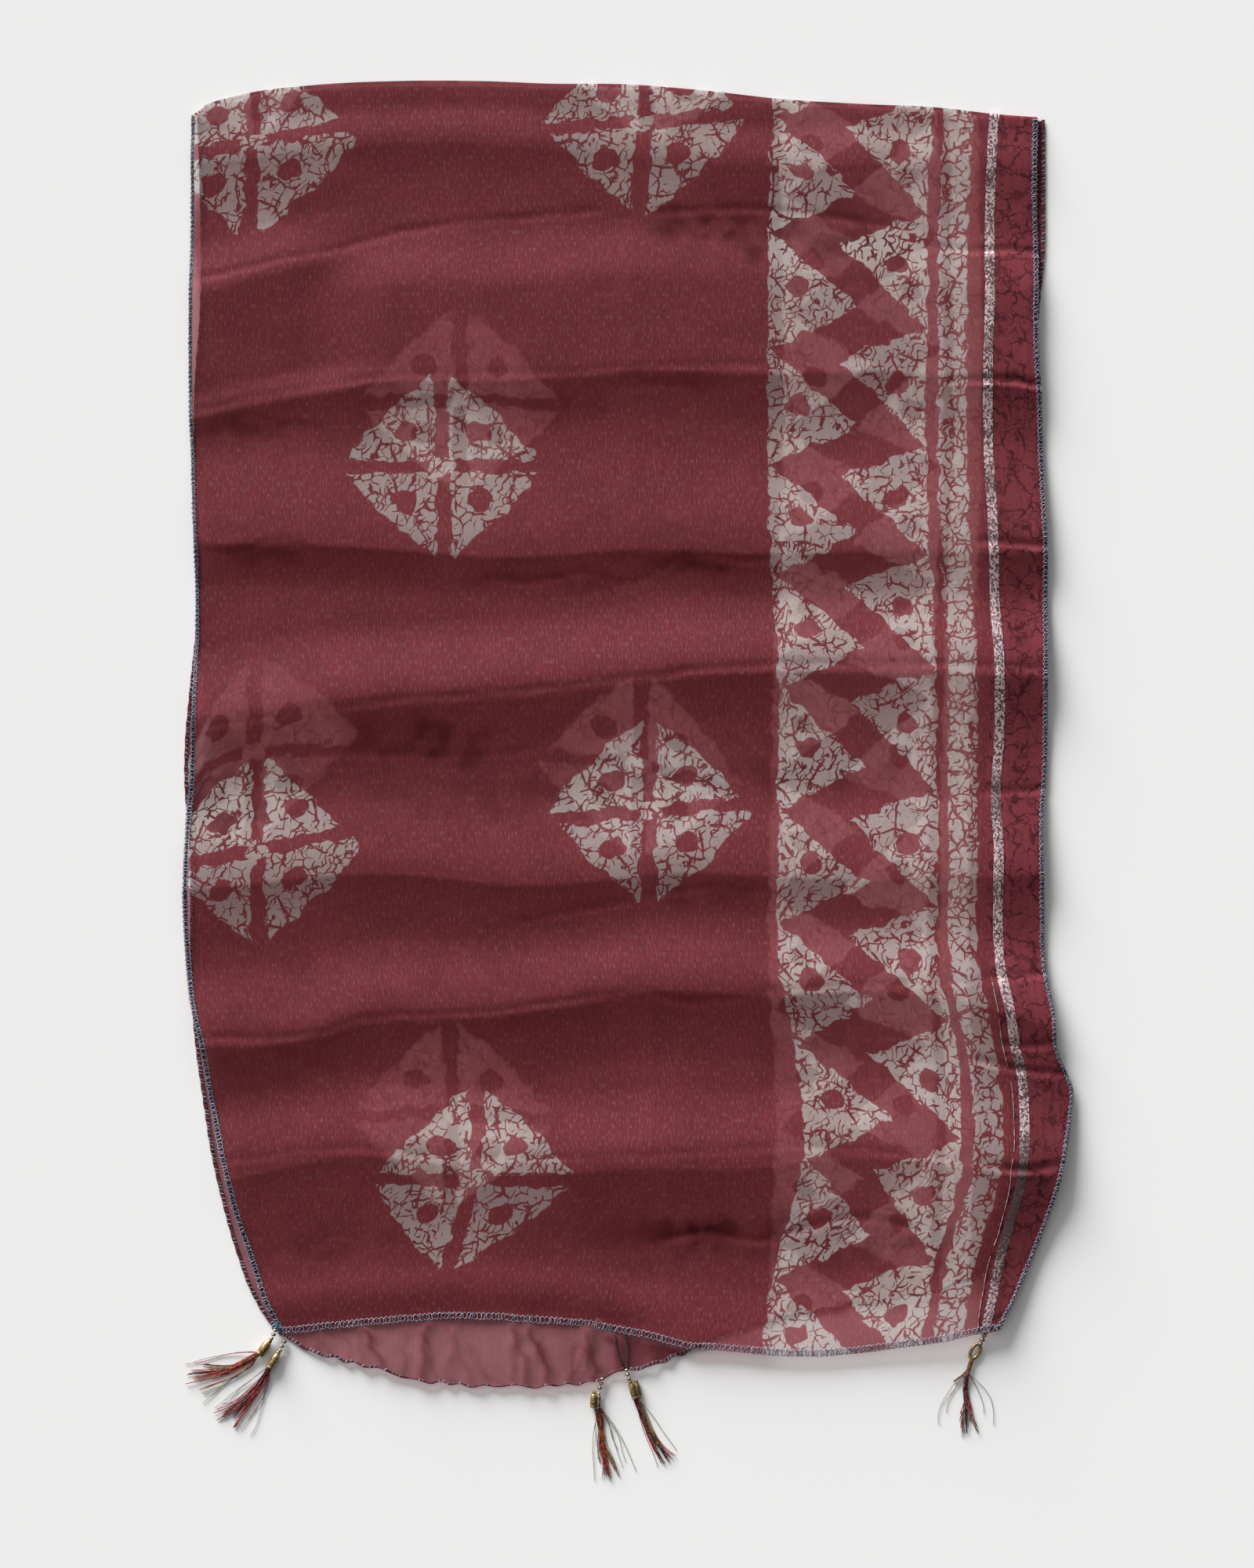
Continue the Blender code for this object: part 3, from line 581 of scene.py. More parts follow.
# Sharp storage creases: line, from x to x, height in mm of the ridge, depth in mm of the groove just above it
CREASES = (
    (curve((240, 366), (316, 349), (366, 337), (440, 322), (508, 303), (584, 291), (680, 284), (749, 276), (1000, 270)), 240, 770, 0.75, 0.9),
    (curve((240, 534), (330, 514), (405, 500), (515, 487), (623, 485), (718, 483), (835, 475), (982, 474)), 240, 980, 0.7, 0.6),
    (curve((240, 936), (320, 925), (417, 910), (492, 902), (598, 894), (745, 881), (896, 862), (986, 856), (1079, 854), (1340, 859)),
     240, 1340, 0.85, 1.1),
    (curve((240, 1331), (330, 1330), (396, 1326), (454, 1308), (597, 1299), (731, 1283), (802, 1272)), 240, 806, 1.0, 0.9),
    (curve((800, 1262), (870, 1284), (1010, 1268), (1240, 1258), (1340, 1250)), 812, 1340, 0.5, 0.6),
    (curve((280, 1490), (441, 1470), (560, 1480), (722, 1484), (896, 1475), (1034, 1469), (1279, 1493), (1360, 1501)), 280, 1360, 0.7, 0.5),
    (curve((600, 742), (690, 748), (740, 738), (800, 752), (880, 716), (960, 724), (1010, 712)), 620, 1000, 0.7, 0.9),
    (curve((250, 704), (300, 712), (350, 700), (420, 716)), 250, 410, 0.6, 0.8),
    (curve((640, 1176), (672, 1182), (700, 1176), (760, 1166), (900, 1140), (985, 1146)), 640, 985, 0.6, 0.6),
    (curve((380, 962), (470, 968), (560, 972), (700, 962)), 380, 690, 0.4, 0.4),
    (curve((800, 282), (860, 276), (930, 274), (1000, 276), (1160, 300)), 830, 1150, 0.7, 1.0),
    (curve((1150, 318), (1240, 325), (1330, 328)), 1180, 1345, 1.3, 1.5),
    (curve((1150, 500), (1240, 492), (1340, 498)), 1200, 1345, 1.5, 1.7),
    (curve((1200, 690), (1270, 700), (1340, 702)), 1236, 1350, 1.2, 1.5),
    (curve((1200, 1012), (1270, 1018), (1336, 1012)), 1240, 1350, 0.9, 1.2),
    (curve((1200, 1254), (1270, 1250), (1345, 1248)), 1250, 1350, 0.8, 0.9),
    (curve((1200, 1330), (1260, 1336), (1300, 1340), (1360, 1338)), 1270, 1372, 0.8, 1.2),
    (curve((1200, 1352), (1260, 1362), (1300, 1370), (1380, 1380)), 1236, 1385, 1.5, 1.7),
    (curve((1230, 1494), (1300, 1497), (1370, 1490)), 1262, 1380, 1.2, 1.6),
    (curve((840, 1592), (900, 1578), (960, 1590), (1100, 1560), (1180, 1580)), 830, 1180, 0.8, 1.0),
)
# Upright creases: x along y, from y to y, height in mm, half width
UPRIGHTS = (
    (curve((270, 802), (420, 806), (700, 806)), 270, 640, 0.45, 7.0),
    (curve((1250, 828), (1380, 832), (1480, 832)), 1250, 1480, 0.45, 7.0),
    (curve((1470, 850), (1690, 852)), 1480, 1690, 0.50, 7.0),
    (curve((1140, 660), (1260, 655)), 1150, 1250, 0.35, 7.0),
)
# Hollows, where the front layer sinks in shadow: x, y, half width, half height, strength
HOLLOWS = (
    (905, 288, 84, 24, 0.9), (965, 320, 30, 22, 0.7), (1040, 290, 60, 26, 0.55), (470, 940, 26, 30, 0.5), (545, 945, 34, 34, 0.75),
    (600, 960, 38, 26, 0.7), (500, 962, 60, 18, 0.5), (880, 722, 66, 15, 0.75), (760, 742, 70, 12, 0.45), (640, 745, 60, 10, 0.4),
    (330, 706, 60, 14, 0.4), (660, 1180, 40, 12, 0.4), (900, 1140, 70, 16, 0.45), (890, 1572, 84, 21, 0.95), (985, 1566, 50, 18, 0.7), (1120, 1556, 60, 14, 0.5),
    (470, 1580, 70, 22, 0.4), (330, 545, 90, 14, 0.6), (860, 488, 70, 14, 0.5), (1010, 700, 60, 14, 0.35), (280, 958, 40, 26, 0.5),
    (1180, 938, 30, 10, 0.3), (340, 1352, 90, 16, 0.35), (700, 520, 120, 16, 0.3),
)

# Broader, fainter hollows, which also darken the cloth's colour as painted shade
TROUGHS = (
    (1030, 300, 140, 54, 0.62), (930, 262, 90, 40, 0.25), (290, 520, 96, 52, 0.42), (420, 1014, 290, 56, 0.38), (270, 1010, 60, 50, 0.35), (960, 986, 230, 38, 0.45),
    (590, 1236, 260, 62, 0.36), (340, 1300, 110, 40, 0.2), (350, 862, 110, 34, 0.28), (420, 1590, 160, 38, 0.42), (1090, 556, 66, 40, 0.30), (1280, 1228, 90, 34, 0.42),
    (1100, 1336, 130, 50, 0.30), (1090, 1596, 110, 36, 0.42), (900, 690, 170, 44, 0.26), (280, 1400, 70, 110, 0.18), (1220, 1400, 90, 60, 0.30), (860, 1580, 140, 36, 0.30),
    (1080, 740, 70, 40, 0.26), (1090, 380, 70, 50, 0.25), (240, 160, 60, 60, 0.25), (1120, 150, 80, 26, 0.22), (720, 1020, 180, 40, 0.25), (400, 300, 60, 60, 0.22),
    (480, 455, 70, 40, 0.2), (280, 1700, 120, 30, 0.2), (1110, 312, 90, 40, 0.35), (1080, 988, 110, 34, 0.30), (1190, 1592, 60, 34, 0.45),
    (285, 1046, 56, 30, 0.45), (370, 1364, 110, 36, 0.42), (860, 1576, 150, 36, 0.48), (850, 520, 170, 26, 0.18), (1240, 1640, 60, 60, 0.2), (380, 570, 120, 30, 0.15), (970, 1340, 120, 40, 0.15), (330, 1480, 60, 40, 0.2), (300, 1600, 70, 40, 0.2),
)

RIGHT_LIFT = curve((140, 0.5), (330, 1.2), (600, 2.6), (900, 3.2), (1150, 3.4), (1300, 5.0), (1440, 6.4), (1580, 6.4), (1700, 4.6))


def edge_lift(x, y):
    """The right-hand side stands a little off the surface, and its edge turns down again."""
    out = smooth((x - FRONT_RIGHT(y) + 78.0) / 84.0)
    return RIGHT_LIFT(y) * smooth((x - 1080.0) / 190.0) * (1.0 - 0.45 * out)


def hollow_shade_at(x, y):
    """Depth of the dark hollows and of a thin dark line along the fold, 0 to 1. The front layer sinks in the hollows,
    and the whole value darkens its colour as painted shade.
    """
    jx = x + 14 * wander(x, y, 34, 26, 41) + 6 * wander(x, y, 13, 11, 42)
    jy = y + 8 * wander(x, y, 30, 24, 43) + 4 * wander(x, y, 12, 10, 44)
    total = np.zeros_like(x)
    for cx, cy, rx, ry, depth in HOLLOWS:
        total = np.maximum(total, depth * np.exp(-(((jx - cx) / rx) ** 2 + ((jy - cy) / ry) ** 2) ** 1.4))
    wide = np.zeros_like(x)
    for cx, cy, rx, ry, depth in TROUGHS:
        wide = wide + depth * np.exp(-((jx - cx) / rx) ** 2 - ((jy - cy) / ry) ** 2)
    total = np.maximum(total, wide * (0.85 + 0.15 * wander(x, y, 60, 40, 45)))
    return np.clip(np.maximum(total, 0.9 * np.exp(-((y - FOLD(x)) / 3.4) ** 2)), 0.0, 1.0)


def front_z(x, y):
    """Height of the front layer in mm."""
    from_fold = y - FOLD(x) - 4.0
    z = 1.9 + 2.0 * np.exp(-((np.maximum(from_fold, 0) / 58.0) ** 2))
    away = smooth(from_fold / 46.0)
    body = np.zeros_like(z)
    swing = 7.0 * wander(x, y, 170, 500, 17)
    for crest, x0, x1, height, start, stop, sunk in BILLOWS:
        off = y - crest(x) + swing
        window = smooth((x - x0 + 60) / 120) * smooth((x1 + 60 - x) / 120)
        uneven = 1.0 + 0.22 * wander(x, y, 210, 500, 7)
        rise = smooth((off + start) / (start - stop))
        fall = (1.0 - np.clip(off / (1.15 * sunk), 0, 1)) ** 1.7
        body = body + height * window * uneven * rise * fall
    z = z + 1.40 * body * (1.0 - 0.86 * smooth((y - FRONT_HEM(x) + 60.0) / 56.0) * smooth((900.0 - x) / 120.0)) * away * (1.0 - 0.30 * smooth((x - 1100.0) / 160.0))
    fine = np.zeros_like(z)
    for line, x0, x1, ridge, groove in CREASES:
        window = smooth((x - x0 + 8) / 30) * smooth((x1 + 8 - x) / 30)
        off = y - line(x) - 1.8 * wander(x, y, 26, 400, 12)
        uneven = 0.22 + 0.78 * smooth(0.5 + 0.85 * wander(x, y, 46, 300, 13))
        share = 0.21 + 0.36 * smooth((x - 1150.0) / 60.0)
        fine = fine + window * (share * uneven * ridge * np.exp(-((off / 2.6) ** 2)) - (0.5 + 0.5 * uneven) * groove * np.exp(-(((off + 7.0) / 6.0) ** 2)))
    for line, y0, y1, height, half in UPRIGHTS:
        window = smooth((y - y0) / 30) * smooth((y1 - y) / 30)
        fine = fine + height * window * np.exp(-(np.abs(x - line(y)) / half) ** 1.25)
    fine = fine - 0.7 * hollow_shade_at(x, y) * smooth(from_fold / 20.0)
    fine = fine + 0.42 * wander(x, y, 150, 70, 3) + 0.22 * wander(x, y, 60, 34, 4) + 0.09 * wander(x, y, 24, 18, 5)
    settle = 0.95 * smooth((y - FRONT_HEM(x) + 60.0) / 56.0) * smooth((880.0 - x) / 120.0)
    return z + fine * smooth(from_fold / 40.0) + edge_lift(x, y) - settle


WRINKLES = ((398, 6, 0.5), (420, 6, 0.4), (462, 7, 0.5), (489, 8, 1.2), (512, 8, 0.4), (537, 9, 1.1), (566, 6, 0.4), (608, 10, 0.45),
            (650, 8, 0.4), (676, 7, 0.8), (703, 8, 1.1), (724, 6, 0.5), (742, 7, 0.6), (764, 8, 1.2), (797, 9, 1.0), (826, 10, 1.0),
            (852, 9, 1.0))


def pleat_shade_at(x, y):
    """How far the back layer's hem is drawn into pleats and darkened, 0 to 1: painted shade on the pleats, where the
    cloth also lies doubled, and broad painted shade, deepest towards the right where the front hem's shadow falls.
    """
    bend = (y - BACK_HEM(x)) * 0.10
    below = smooth((y - FRONT_HEM(x) - 2.0) / 8.0)
    total = np.zeros_like(x)
    for cx, half, height in WRINKLES:
        total = np.maximum(total, np.clip(height, 0, 1) * np.exp(-np.abs((x + bend * math.sin(cx) * 5.0 - cx + 6.0 * wander(y, y * 0 + cx, 14, 40, 51)) / (half * 0.62)) ** 1.5))
    # broad painted shade: deep right of 772 units, fainter right of 640 units and at the left end, with uneven streaks
    broad_shade = 1.0 * smooth((x - 772.0) / 40.0) + 0.30 * smooth((x - 640.0) / 80.0) + 0.5 * smooth((418.0 - x) / 34.0)
    broad_shade = broad_shade + 0.42 * np.clip(1.0 - 7.0 * np.abs(wander(x, y, 34, 60, 54)), 0, 1)
    cloud = 0.5 + 0.5 * wander(x, y, 26, 18, 52)
    return below * np.clip(total * (0.72 + 0.28 * cloud) + broad_shade * (0.6 + 0.4 * cloud) + 0.16 * wander(x, y, 11, 40, 53), 0, 1) * smooth((905.0 - x) / 14.0)


def back_z(x, y):
    """Height of the back layer in mm: flat under the front layer, puckered along its own hem."""
    z = 0.35 + 0.85 * edge_lift(x, y) + 0.10 * wander(x, y, 120, 60, 23)
    hem = BACK_HEM(x)
    near = smooth((y - (FRONT_HEM(x) - 40.0)) / 60.0) * smooth((900 - x) / 60.0)
    z = z + 2.2 * near * smooth((y - FRONT_HEM(x)) / 60.0)
    bend = (y - hem) * 0.10
    extra = np.zeros_like(z)
    for cx, half, height in WRINKLES:
        extra = extra + height * np.exp(-(((x + bend * math.sin(cx) * 5.0 - cx + 6.0 * wander(y, y * 0 + cx, 14, 40, 51)) / half) ** 2))
    z = z + near * extra * 2.1
    z = z + 0.5 * near * np.sin(x / 3.9 + 2.0 * np.sin(x / 31.0)) * smooth((y - hem + 16.0) / 16.0)
    side = smooth((BACK_LEFT(y) + 34 - x) / 30.0) * smooth((y - 1320) / 60.0)
    return z + side * (0.4 + 0.4 * wander(x, y, 40, 26, 29))


# ---- meshes --------------------------------------------------------------------------------------------------------------
def put_object(name, mesh, mats, slot, *nodes):
    for mat in mats:
        mesh.materials.append(mat)
    ob = bpy.data.objects.new(name, mesh)
    scene.collection.objects.link(ob)
    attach(ob, "root")
    if nodes:
        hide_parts(*nodes)
    return ob


def raw_mesh(name, verts, quads, uvs=(), attributes=(), kinds=None):
    """verts (n, 3) in metres, quads (m, 4) of indices, uvs and attributes by vertex."""
    mesh = bpy.data.meshes.new(name)
    verts, quads = np.asarray(verts, np.float32), np.asarray(quads, np.int32)
    mesh.vertices.add(len(verts))
    mesh.vertices.foreach_set("co", verts.ravel())
    mesh.loops.add(quads.size)
    mesh.loops.foreach_set("vertex_index", quads.ravel())
    mesh.polygons.add(len(quads))
    mesh.polygons.foreach_set("loop_start", np.arange(0, quads.size, 4, dtype=np.int32))
    if kinds is not None:
        mesh.polygons.foreach_set("material_index", np.asarray(kinds, np.int32))
    mesh.update(calc_edges=True)
    mesh.polygons.foreach_set("use_smooth", np.ones(len(quads), bool))
    for label, values in uvs:
        layer = mesh.uv_layers.new(name=label)
        layer.data.foreach_set("uv", np.asarray(values, np.float32)[quads.ravel()].ravel())
    for label, values in attributes:
        layer = mesh.attributes.new(label, "FLOAT", "POINT")
        layer.data.foreach_set("value", np.asarray(values, np.float32).ravel())
    mesh.validate()
    mesh.update()
    return mesh


def grid(rows, columns):
    i = np.arange(rows * columns).reshape(rows, columns)
    return np.stack([i[:-1, :-1], i[1:, :-1], i[1:, 1:], i[:-1, 1:]], -1).reshape(-1, 4)


FIELD_FRONT = ((324.0, 182.0, 902.0, -0.20), (571.0, 595.0, 909.0, 0.0), (822.0, 155.0, 880.0, -0.08))
FIELD_BACK = ((324.0, 180.0, 905.0, -0.20), (574.0, 606.0, 911.0, 0.0), (818.0, 155.0, 916.0, -0.08))


def sheet(name, x, y, z, u, v, level, painted_shade):
    """A cloth shell from arrays of plan places and heights."""
    verts = np.stack([wx(x), wy(y), z * MM], -1).reshape(-1, 3)
    uvs = (
        ("print", np.stack([u, v], -1).reshape(-1, 2) / 100.0),
        ("border", np.stack([u, level], -1).reshape(-1, 2) / 100.0),
    )
    undyed = 0.48 * smooth((u - 980.0) / 16.0) * smooth((1246.0 - u) / 16.0)
    for cx, cy, period, _ in FIELD_FRONT:
        dy = (v - cy + period / 2) % period - period / 2
        undyed = np.maximum(undyed, 0.55 * smooth((126.0 - np.abs(u - cx) - np.abs(dy)) / 20.0))
    return raw_mesh(name, verts, grid(*x.shape), uvs, (("painted_shade", painted_shade), ("undyed", undyed)))


def row_level(v):
    """Place along the rows of triangles: each point of the right row falls on a whole 147."""
    points = np.array(POINTS, float)
    inner = np.interp(v, points, np.arange(len(points)) * 147.0)
    below = (v - points[0]) * (147.0 / 148.6)
    beyond = (v - points[-1]) + 147.0 * (len(points) - 1)
    return np.where(v < points[0], below, np.where(v > points[-1], beyond, inner))


ROLL_ROWS = 9
ROLL = 4.0


def front_rows(left, right, columns, rows, rise=0.0):
    """The front layer between two lines, with the roll of the fold before its first row."""
    s = np.linspace(0, 1, columns)
    t = np.linspace(0, 1, rows)
    x, y = patch(left, right, lambda q: FOLD(q) + ROLL, FRONT_HEM, s, t)
    z = front_z(x, y) + rise
    u, v = x - FRONT_SHIFT(y), y.copy()
    fold = FOLD(x[0])
    low, high = back_z(x[0], y[0]) - rise, z[0]
    rx, ry, rz, ru, rv = [], [], [], [], []
    for k in range(ROLL_ROWS, 0, -1):
        turn = math.pi * k / ROLL_ROWS
        rx.append(x[0])
        ry.append(fold + ROLL - (ROLL + rise) * math.sin(turn))
        rz.append((high + low) / 2 + (high - low) / 2 * math.cos(turn))
        ru.append(u[0])
        rv.append(fold + ROLL * math.cos(turn))
    stack = [np.vstack([np.array(a), b]) for a, b in ((rx, x), (ry, y), (rz, z), (ru, u), (rv, v))]
    return stack


def back_rows(left, right, columns, rows, drop=0.0):
    s = np.linspace(0, 1, columns)
    t = np.linspace(0, 1, rows)
    x, y = patch(left, right, lambda q: FOLD(q) + ROLL, BACK_HEM, s, t)
    z = back_z(x, y) - drop
    u, v = x - BACK_SHIFT(y), 2 * FOLD(x) - y
    return x, y, z, u, v


front_cloth = sheer("sheer_front", FIELD_FRONT, 0.0)
back_cloth = sheer("sheer_back", FIELD_BACK, 3.0, reverse=True)
border_mat = border_cloth()
silver_mat = metal_cloth()


def allowance(y):
    return RIBBON(y) - ALLOWANCE(y)


# sheer cloth: front with the fold, then back
x, y, z, u, v = front_rows(FRONT_LEFT, lambda q: RIBBON(q) + 3.0, 165, 560)
front = put_object("front_sheet", sheet("front_sheet", x, y, z, u, v, row_level(v), hollow_shade_at(x, y)), [front_cloth], "sheer_cloth",
                   "cloth_front", "cloth_fold")
x, y, z, u, v = back_rows(BACK_LEFT, lambda q: BACK_RIGHT(q) - 58.0 + 3.0, 316, 300)
back = put_object("back_sheet", sheet("back_sheet", x, y, z, u, v, row_level(v), pleat_shade_at(x, y)), [back_cloth], "sheer_cloth", "cloth_back")

# border cloth, in one length round the fold
x, y, z, u, v = front_rows(allowance, FRONT_RIGHT, 30, 520, 0.12)
bx, by, bz, bu, bv = back_rows(lambda q: BACK_RIGHT(q) - 58.0, BACK_RIGHT, 30, 260, 0.12)
border_front = sheet("border_front", x, y, z, x - RIBBON(y) + 1268.0, v, row_level(v), 0 * x)
border = put_object("border_front", border_front, [border_mat], "border_weave", "border_strip")
border_back = put_object("border_back", sheet("border_back", bx, by, bz, bx - BACK_RIGHT(by) + 1326.0, bv, row_level(bv), 0 * bx),
                         [border_mat], "border_weave")

# metal ribbon on the front, and its run on the back
# Painted shade along the ribbon: place, half length, depth. The deepest, round 1480 to 1550 units, is where the ribbon
# lies in a small pleat's shade.
RIBBON_SHADE = ((232, 9, 0.5), (336, 12, 0.5), (440, 16, 0.5), (618, 18, 0.6), (1016, 30, 0.8), (1140, 10, 0.2), (1356, 16, 0.6), (1480, 32, 0.9), (1550, 50, 1.2),
        (1625, 30, 0.45), (1690, 20, 0.3))


def ribbon_shade_at(v):
    return np.clip(sum(depth * np.exp(-(((v - at) / half) ** 4)) for at, half, depth in RIBBON_SHADE), 0, 1.2)


def ribbon_edge(side, half):
    def at(q):
        return RIBBON(q) + side * (half + 0.5 * wander(np.asarray(q, float), np.asarray(q, float) * 0, 19, 50, 60 + side))
    return at


x, y, z, u, v = front_rows(ribbon_edge(-1, 6.2), ribbon_edge(1, 6.2), 7, 620, 0.34)
mesh = sheet("ribbon_front", x, y, z + 0.16 * np.sin(np.pi * np.linspace(0, 1, 7))[None, :], x - RIBBON(y), v, row_level(v), 0 * x)
layer = mesh.attributes.new("ribbon_shade", "FLOAT", "POINT")
layer.data.foreach_set("value", ribbon_shade_at(v).astype(np.float32).ravel())
ribbon = put_object("ribbon_front", mesh, [silver_mat], "metal_ribbon", "metal_ribbon")
x, y, z, u, v = back_rows(lambda q: BACK_RIGHT(q) - 58.0 - 6.2, lambda q: BACK_RIGHT(q) - 58.0 + 6.2, 4, 260, 0.16)
mesh = sheet("ribbon_back", x, y, z, x - BACK_RIGHT(y) + 58.0, v, row_level(v), 0 * x)
# the back's run is evenly darkened by the same value all along
layer = mesh.attributes.new("ribbon_shade", "FLOAT", "POINT")
layer.data.foreach_set("value", (0.4 + 0 * v).astype(np.float32).ravel())
ribbon_back = put_object("ribbon_back", mesh, [silver_mat], "metal_ribbon")


# ---- threads -------------------------------------------------------------------------------------------------------------
def tubes(name, paths, radii, kinds, mats, slot, sides=5, nodes=()):
    """Many thin tubes in one mesh. paths are arrays of points in metres, radii one number or one a point."""
    verts, quads, kind = [], [], []
    start = 0
    ring = np.linspace(0, 2 * np.pi, sides, endpoint=False)
    for path, radius, k in zip(paths, radii, kinds):
        path = np.asarray(path, float)
        n = len(path)
        along = np.gradient(path, axis=0)
        along /= np.linalg.norm(along, axis=1, keepdims=True) + 1e-12
        up = np.tile([0.0, 0.0, 1.0], (n, 1))
        flat = np.abs(along[:, 2]) > 0.92
        up[flat] = (1.0, 0.0, 0.0)
        side = np.cross(along, up)
        side /= np.linalg.norm(side, axis=1, keepdims=True) + 1e-12
        up = np.cross(side, along)
        r = np.broadcast_to(np.asarray(radius, float), (n,))
        pts = path[:, None, :] + r[:, None, None] * (np.cos(ring)[None, :, None] * side[:, None, :] + np.sin(ring)[None, :, None] * up[:, None, :])
        verts.append(pts.reshape(-1, 3))
        i = np.arange(n * sides).reshape(n, sides) + start
        j = np.roll(i, -1, axis=1)
        quads.append(np.stack([i[:-1], j[:-1], j[1:], i[1:]], -1).reshape(-1, 4))
        kind.append(np.full((n - 1) * sides, k))
        start += n * sides
    mesh = raw_mesh(name, np.vstack(verts), np.vstack(quads), kinds=np.concatenate(kind))
    return put_object(name, mesh, mats, slot, *nodes)


def resample(points, gap):
    points = np.asarray(points, float)
    d = np.r_[0, np.cumsum(np.hypot(*np.diff(points, axis=0).T))]
    n = max(int(round(d[-1] / gap)), 2)
    q = np.linspace(0, d[-1], n + 1)
    return np.stack([np.interp(q, d, points[:, 0]), np.interp(q, d, points[:, 1])], -1), q


def edge_frame(points):
    along = np.gradient(points, axis=0)
    along /= np.hypot(along[:, 0], along[:, 1])[:, None]
    return np.stack([-along[:, 1], along[:, 0]], -1)


pale_thread = yarn("overlock_pale", (0.37, 0.355, 0.41), (0.15, 0.13, 0.165), 0.6, 1.2)
dark_thread = yarn("overlock_dark", (0.050, 0.044, 0.075), (0.020, 0.014, 0.028), 0.65, 1.6)
blue_thread = yarn("overlock_blue", (0.15, 0.185, 0.27), (0.060, 0.072, 0.12), 0.6, 1.6)
teal_thread = yarn("overlock_teal", (0.10, 0.27, 0.36), (0.04, 0.12, 0.18), 0.6, 1.6)
edge_thread = yarn("edge_thread", (0.16, 0.040, 0.054), (0.05, 0.012, 0.018), 0.65, 2.4)
silver_thread = yarn("silver_thread", (0.50, 0.42, 0.44), (0.17, 0.09, 0.11), 0.45, 3.4, 0.5)


def overlock(name, points, height, width=8.0, inward=1.0, seed=1, slot="sheer_cloth", bed=2, widths=None, teal=(0.0, 0.0)):
    """Three-thread overlocking along an edge: a needle line, a looped outer line and short bars between them."""
    rng = np.random.default_rng(seed)
    line, d = resample(points, 1.2)
    normal = edge_frame(line) * inward
    n = len(line)
    wide = np.full(n, width) if widths is None else np.interp(d / d[-1], *np.array(widths, float).T)

    def jitter(gap, size):
        k = np.arange(0, d[-1] + 3 * gap, gap)
        return size * np.interp(d, k, rng.uniform(-1, 1, len(k)))

    def lay(offset, rise):
        q = line + normal * np.asarray(offset)[:, None]
        inner = line + normal * np.clip(offset, 0.5, None)[:, None]
        z = height(inner[:, 0], inner[:, 1])
        return np.stack([wx(q[:, 0]), wy(q[:, 1]), (z + rise) * MM], -1)

    paths, radii, kinds = [], [], []
    turn = d * 2 * np.pi / 6.2
    for k in range(bed):
        off = wide * (0.34 + 0.32 * k / max(bed - 1, 1)) + 0.3 * np.sin(turn + k * 2.0)
        paths.append(lay(off, 0.10))
        radii.append(0.54 * MM)
        kinds.append(1)
    paths.append(lay(wide - 0.8 + 1.05 * np.sin(turn) + jitter(19, 0.6), 0.52 + 0.14 * np.cos(turn)))
    radii.append((0.29 + 0.07 * np.sin(turn * 2) + jitter(11, 0.05)) * MM)
    kinds.append(0)
    paths.append(lay(0.7 + 1.05 * np.sin(turn + 2.0) + jitter(15, 0.6), 0.34 + 0.16 * np.cos(turn)))
    radii.append((0.29 + 0.07 * np.sin(turn * 2 + 1) + jitter(13, 0.05)) * MM)
    kinds.append(0)
    gap = 3.9
    for k in range(int(d[-1] / gap)):
        at = (k + 0.5) * gap + rng.uniform(-0.7, 0.7)
        i = min(int(at / d[-1] * (n - 1)), n - 3)
        j = min(max(i + int(rng.integers(-1, 3)), 1), n - 2)
        w = wide[i]
        p0, p1 = line[i] + normal[i] * 0.9, line[j] + normal[j] * (w - 1.2)
        t = np.linspace(0, 1, 4)[:, None]
        q = p0 + (p1 - p0) * t
        z = height(q[:, 0], q[:, 1]) + 0.42 + 0.36 * np.sin(np.pi * t[:, 0])
        paths.append(np.stack([wx(q[:, 0]), wy(q[:, 1]), z * MM], -1))
        radii.append(rng.uniform(0.26, 0.38) * MM)
        near_end = at < teal[0] or d[-1] - at < teal[1]
        kinds.append(3 if near_end or rng.random() < 0.02 else (2 if rng.random() < 0.5 else 0))
    return tubes(name, paths, radii, kinds, [pale_thread, dark_thread, blue_thread, teal_thread], slot, sides=4)


def side_line(edge, y0, y1, gap=4.0):
    q = np.arange(y0, y1 + gap, gap)
    q = np.clip(q, min(y0, y1), max(y0, y1))
    return np.stack([edge(q), q], -1)


def hem_line(edge, x0, x1, gap=4.0):
    q = np.clip(np.arange(x0, x1 + gap, gap), min(x0, x1), max(x0, x1))
    return np.stack([q, edge(q)], -1)


front_plus = lambda a, b: front_z(a, b) + 0.12
left_top = float(FOLD(244.0)) + 3
overlock("overlock_front_left", side_line(FRONT_LEFT, left_top, 1699), front_z, 8.0, -1.0, 1, bed=3,
                     widths=((0, 4.2), (0.45, 4.6), (0.52, 6.6), (1, 7.0)), teal=(0, 12))
overlock("overlock_front_right", side_line(FRONT_RIGHT, 152, 1697), front_plus, 8.0, 1.0, 2, "border_weave", bed=2,
                     widths=((0, 6.4), (0.3, 6.0), (0.6, 5.2), (0.75, 4.6), (1, 5.0)))
overlock("overlock_front_hem", hem_line(FRONT_HEM, 356, 1274), front_z, 8.6, -1.0, 3, bed=0, teal=(8, 0))


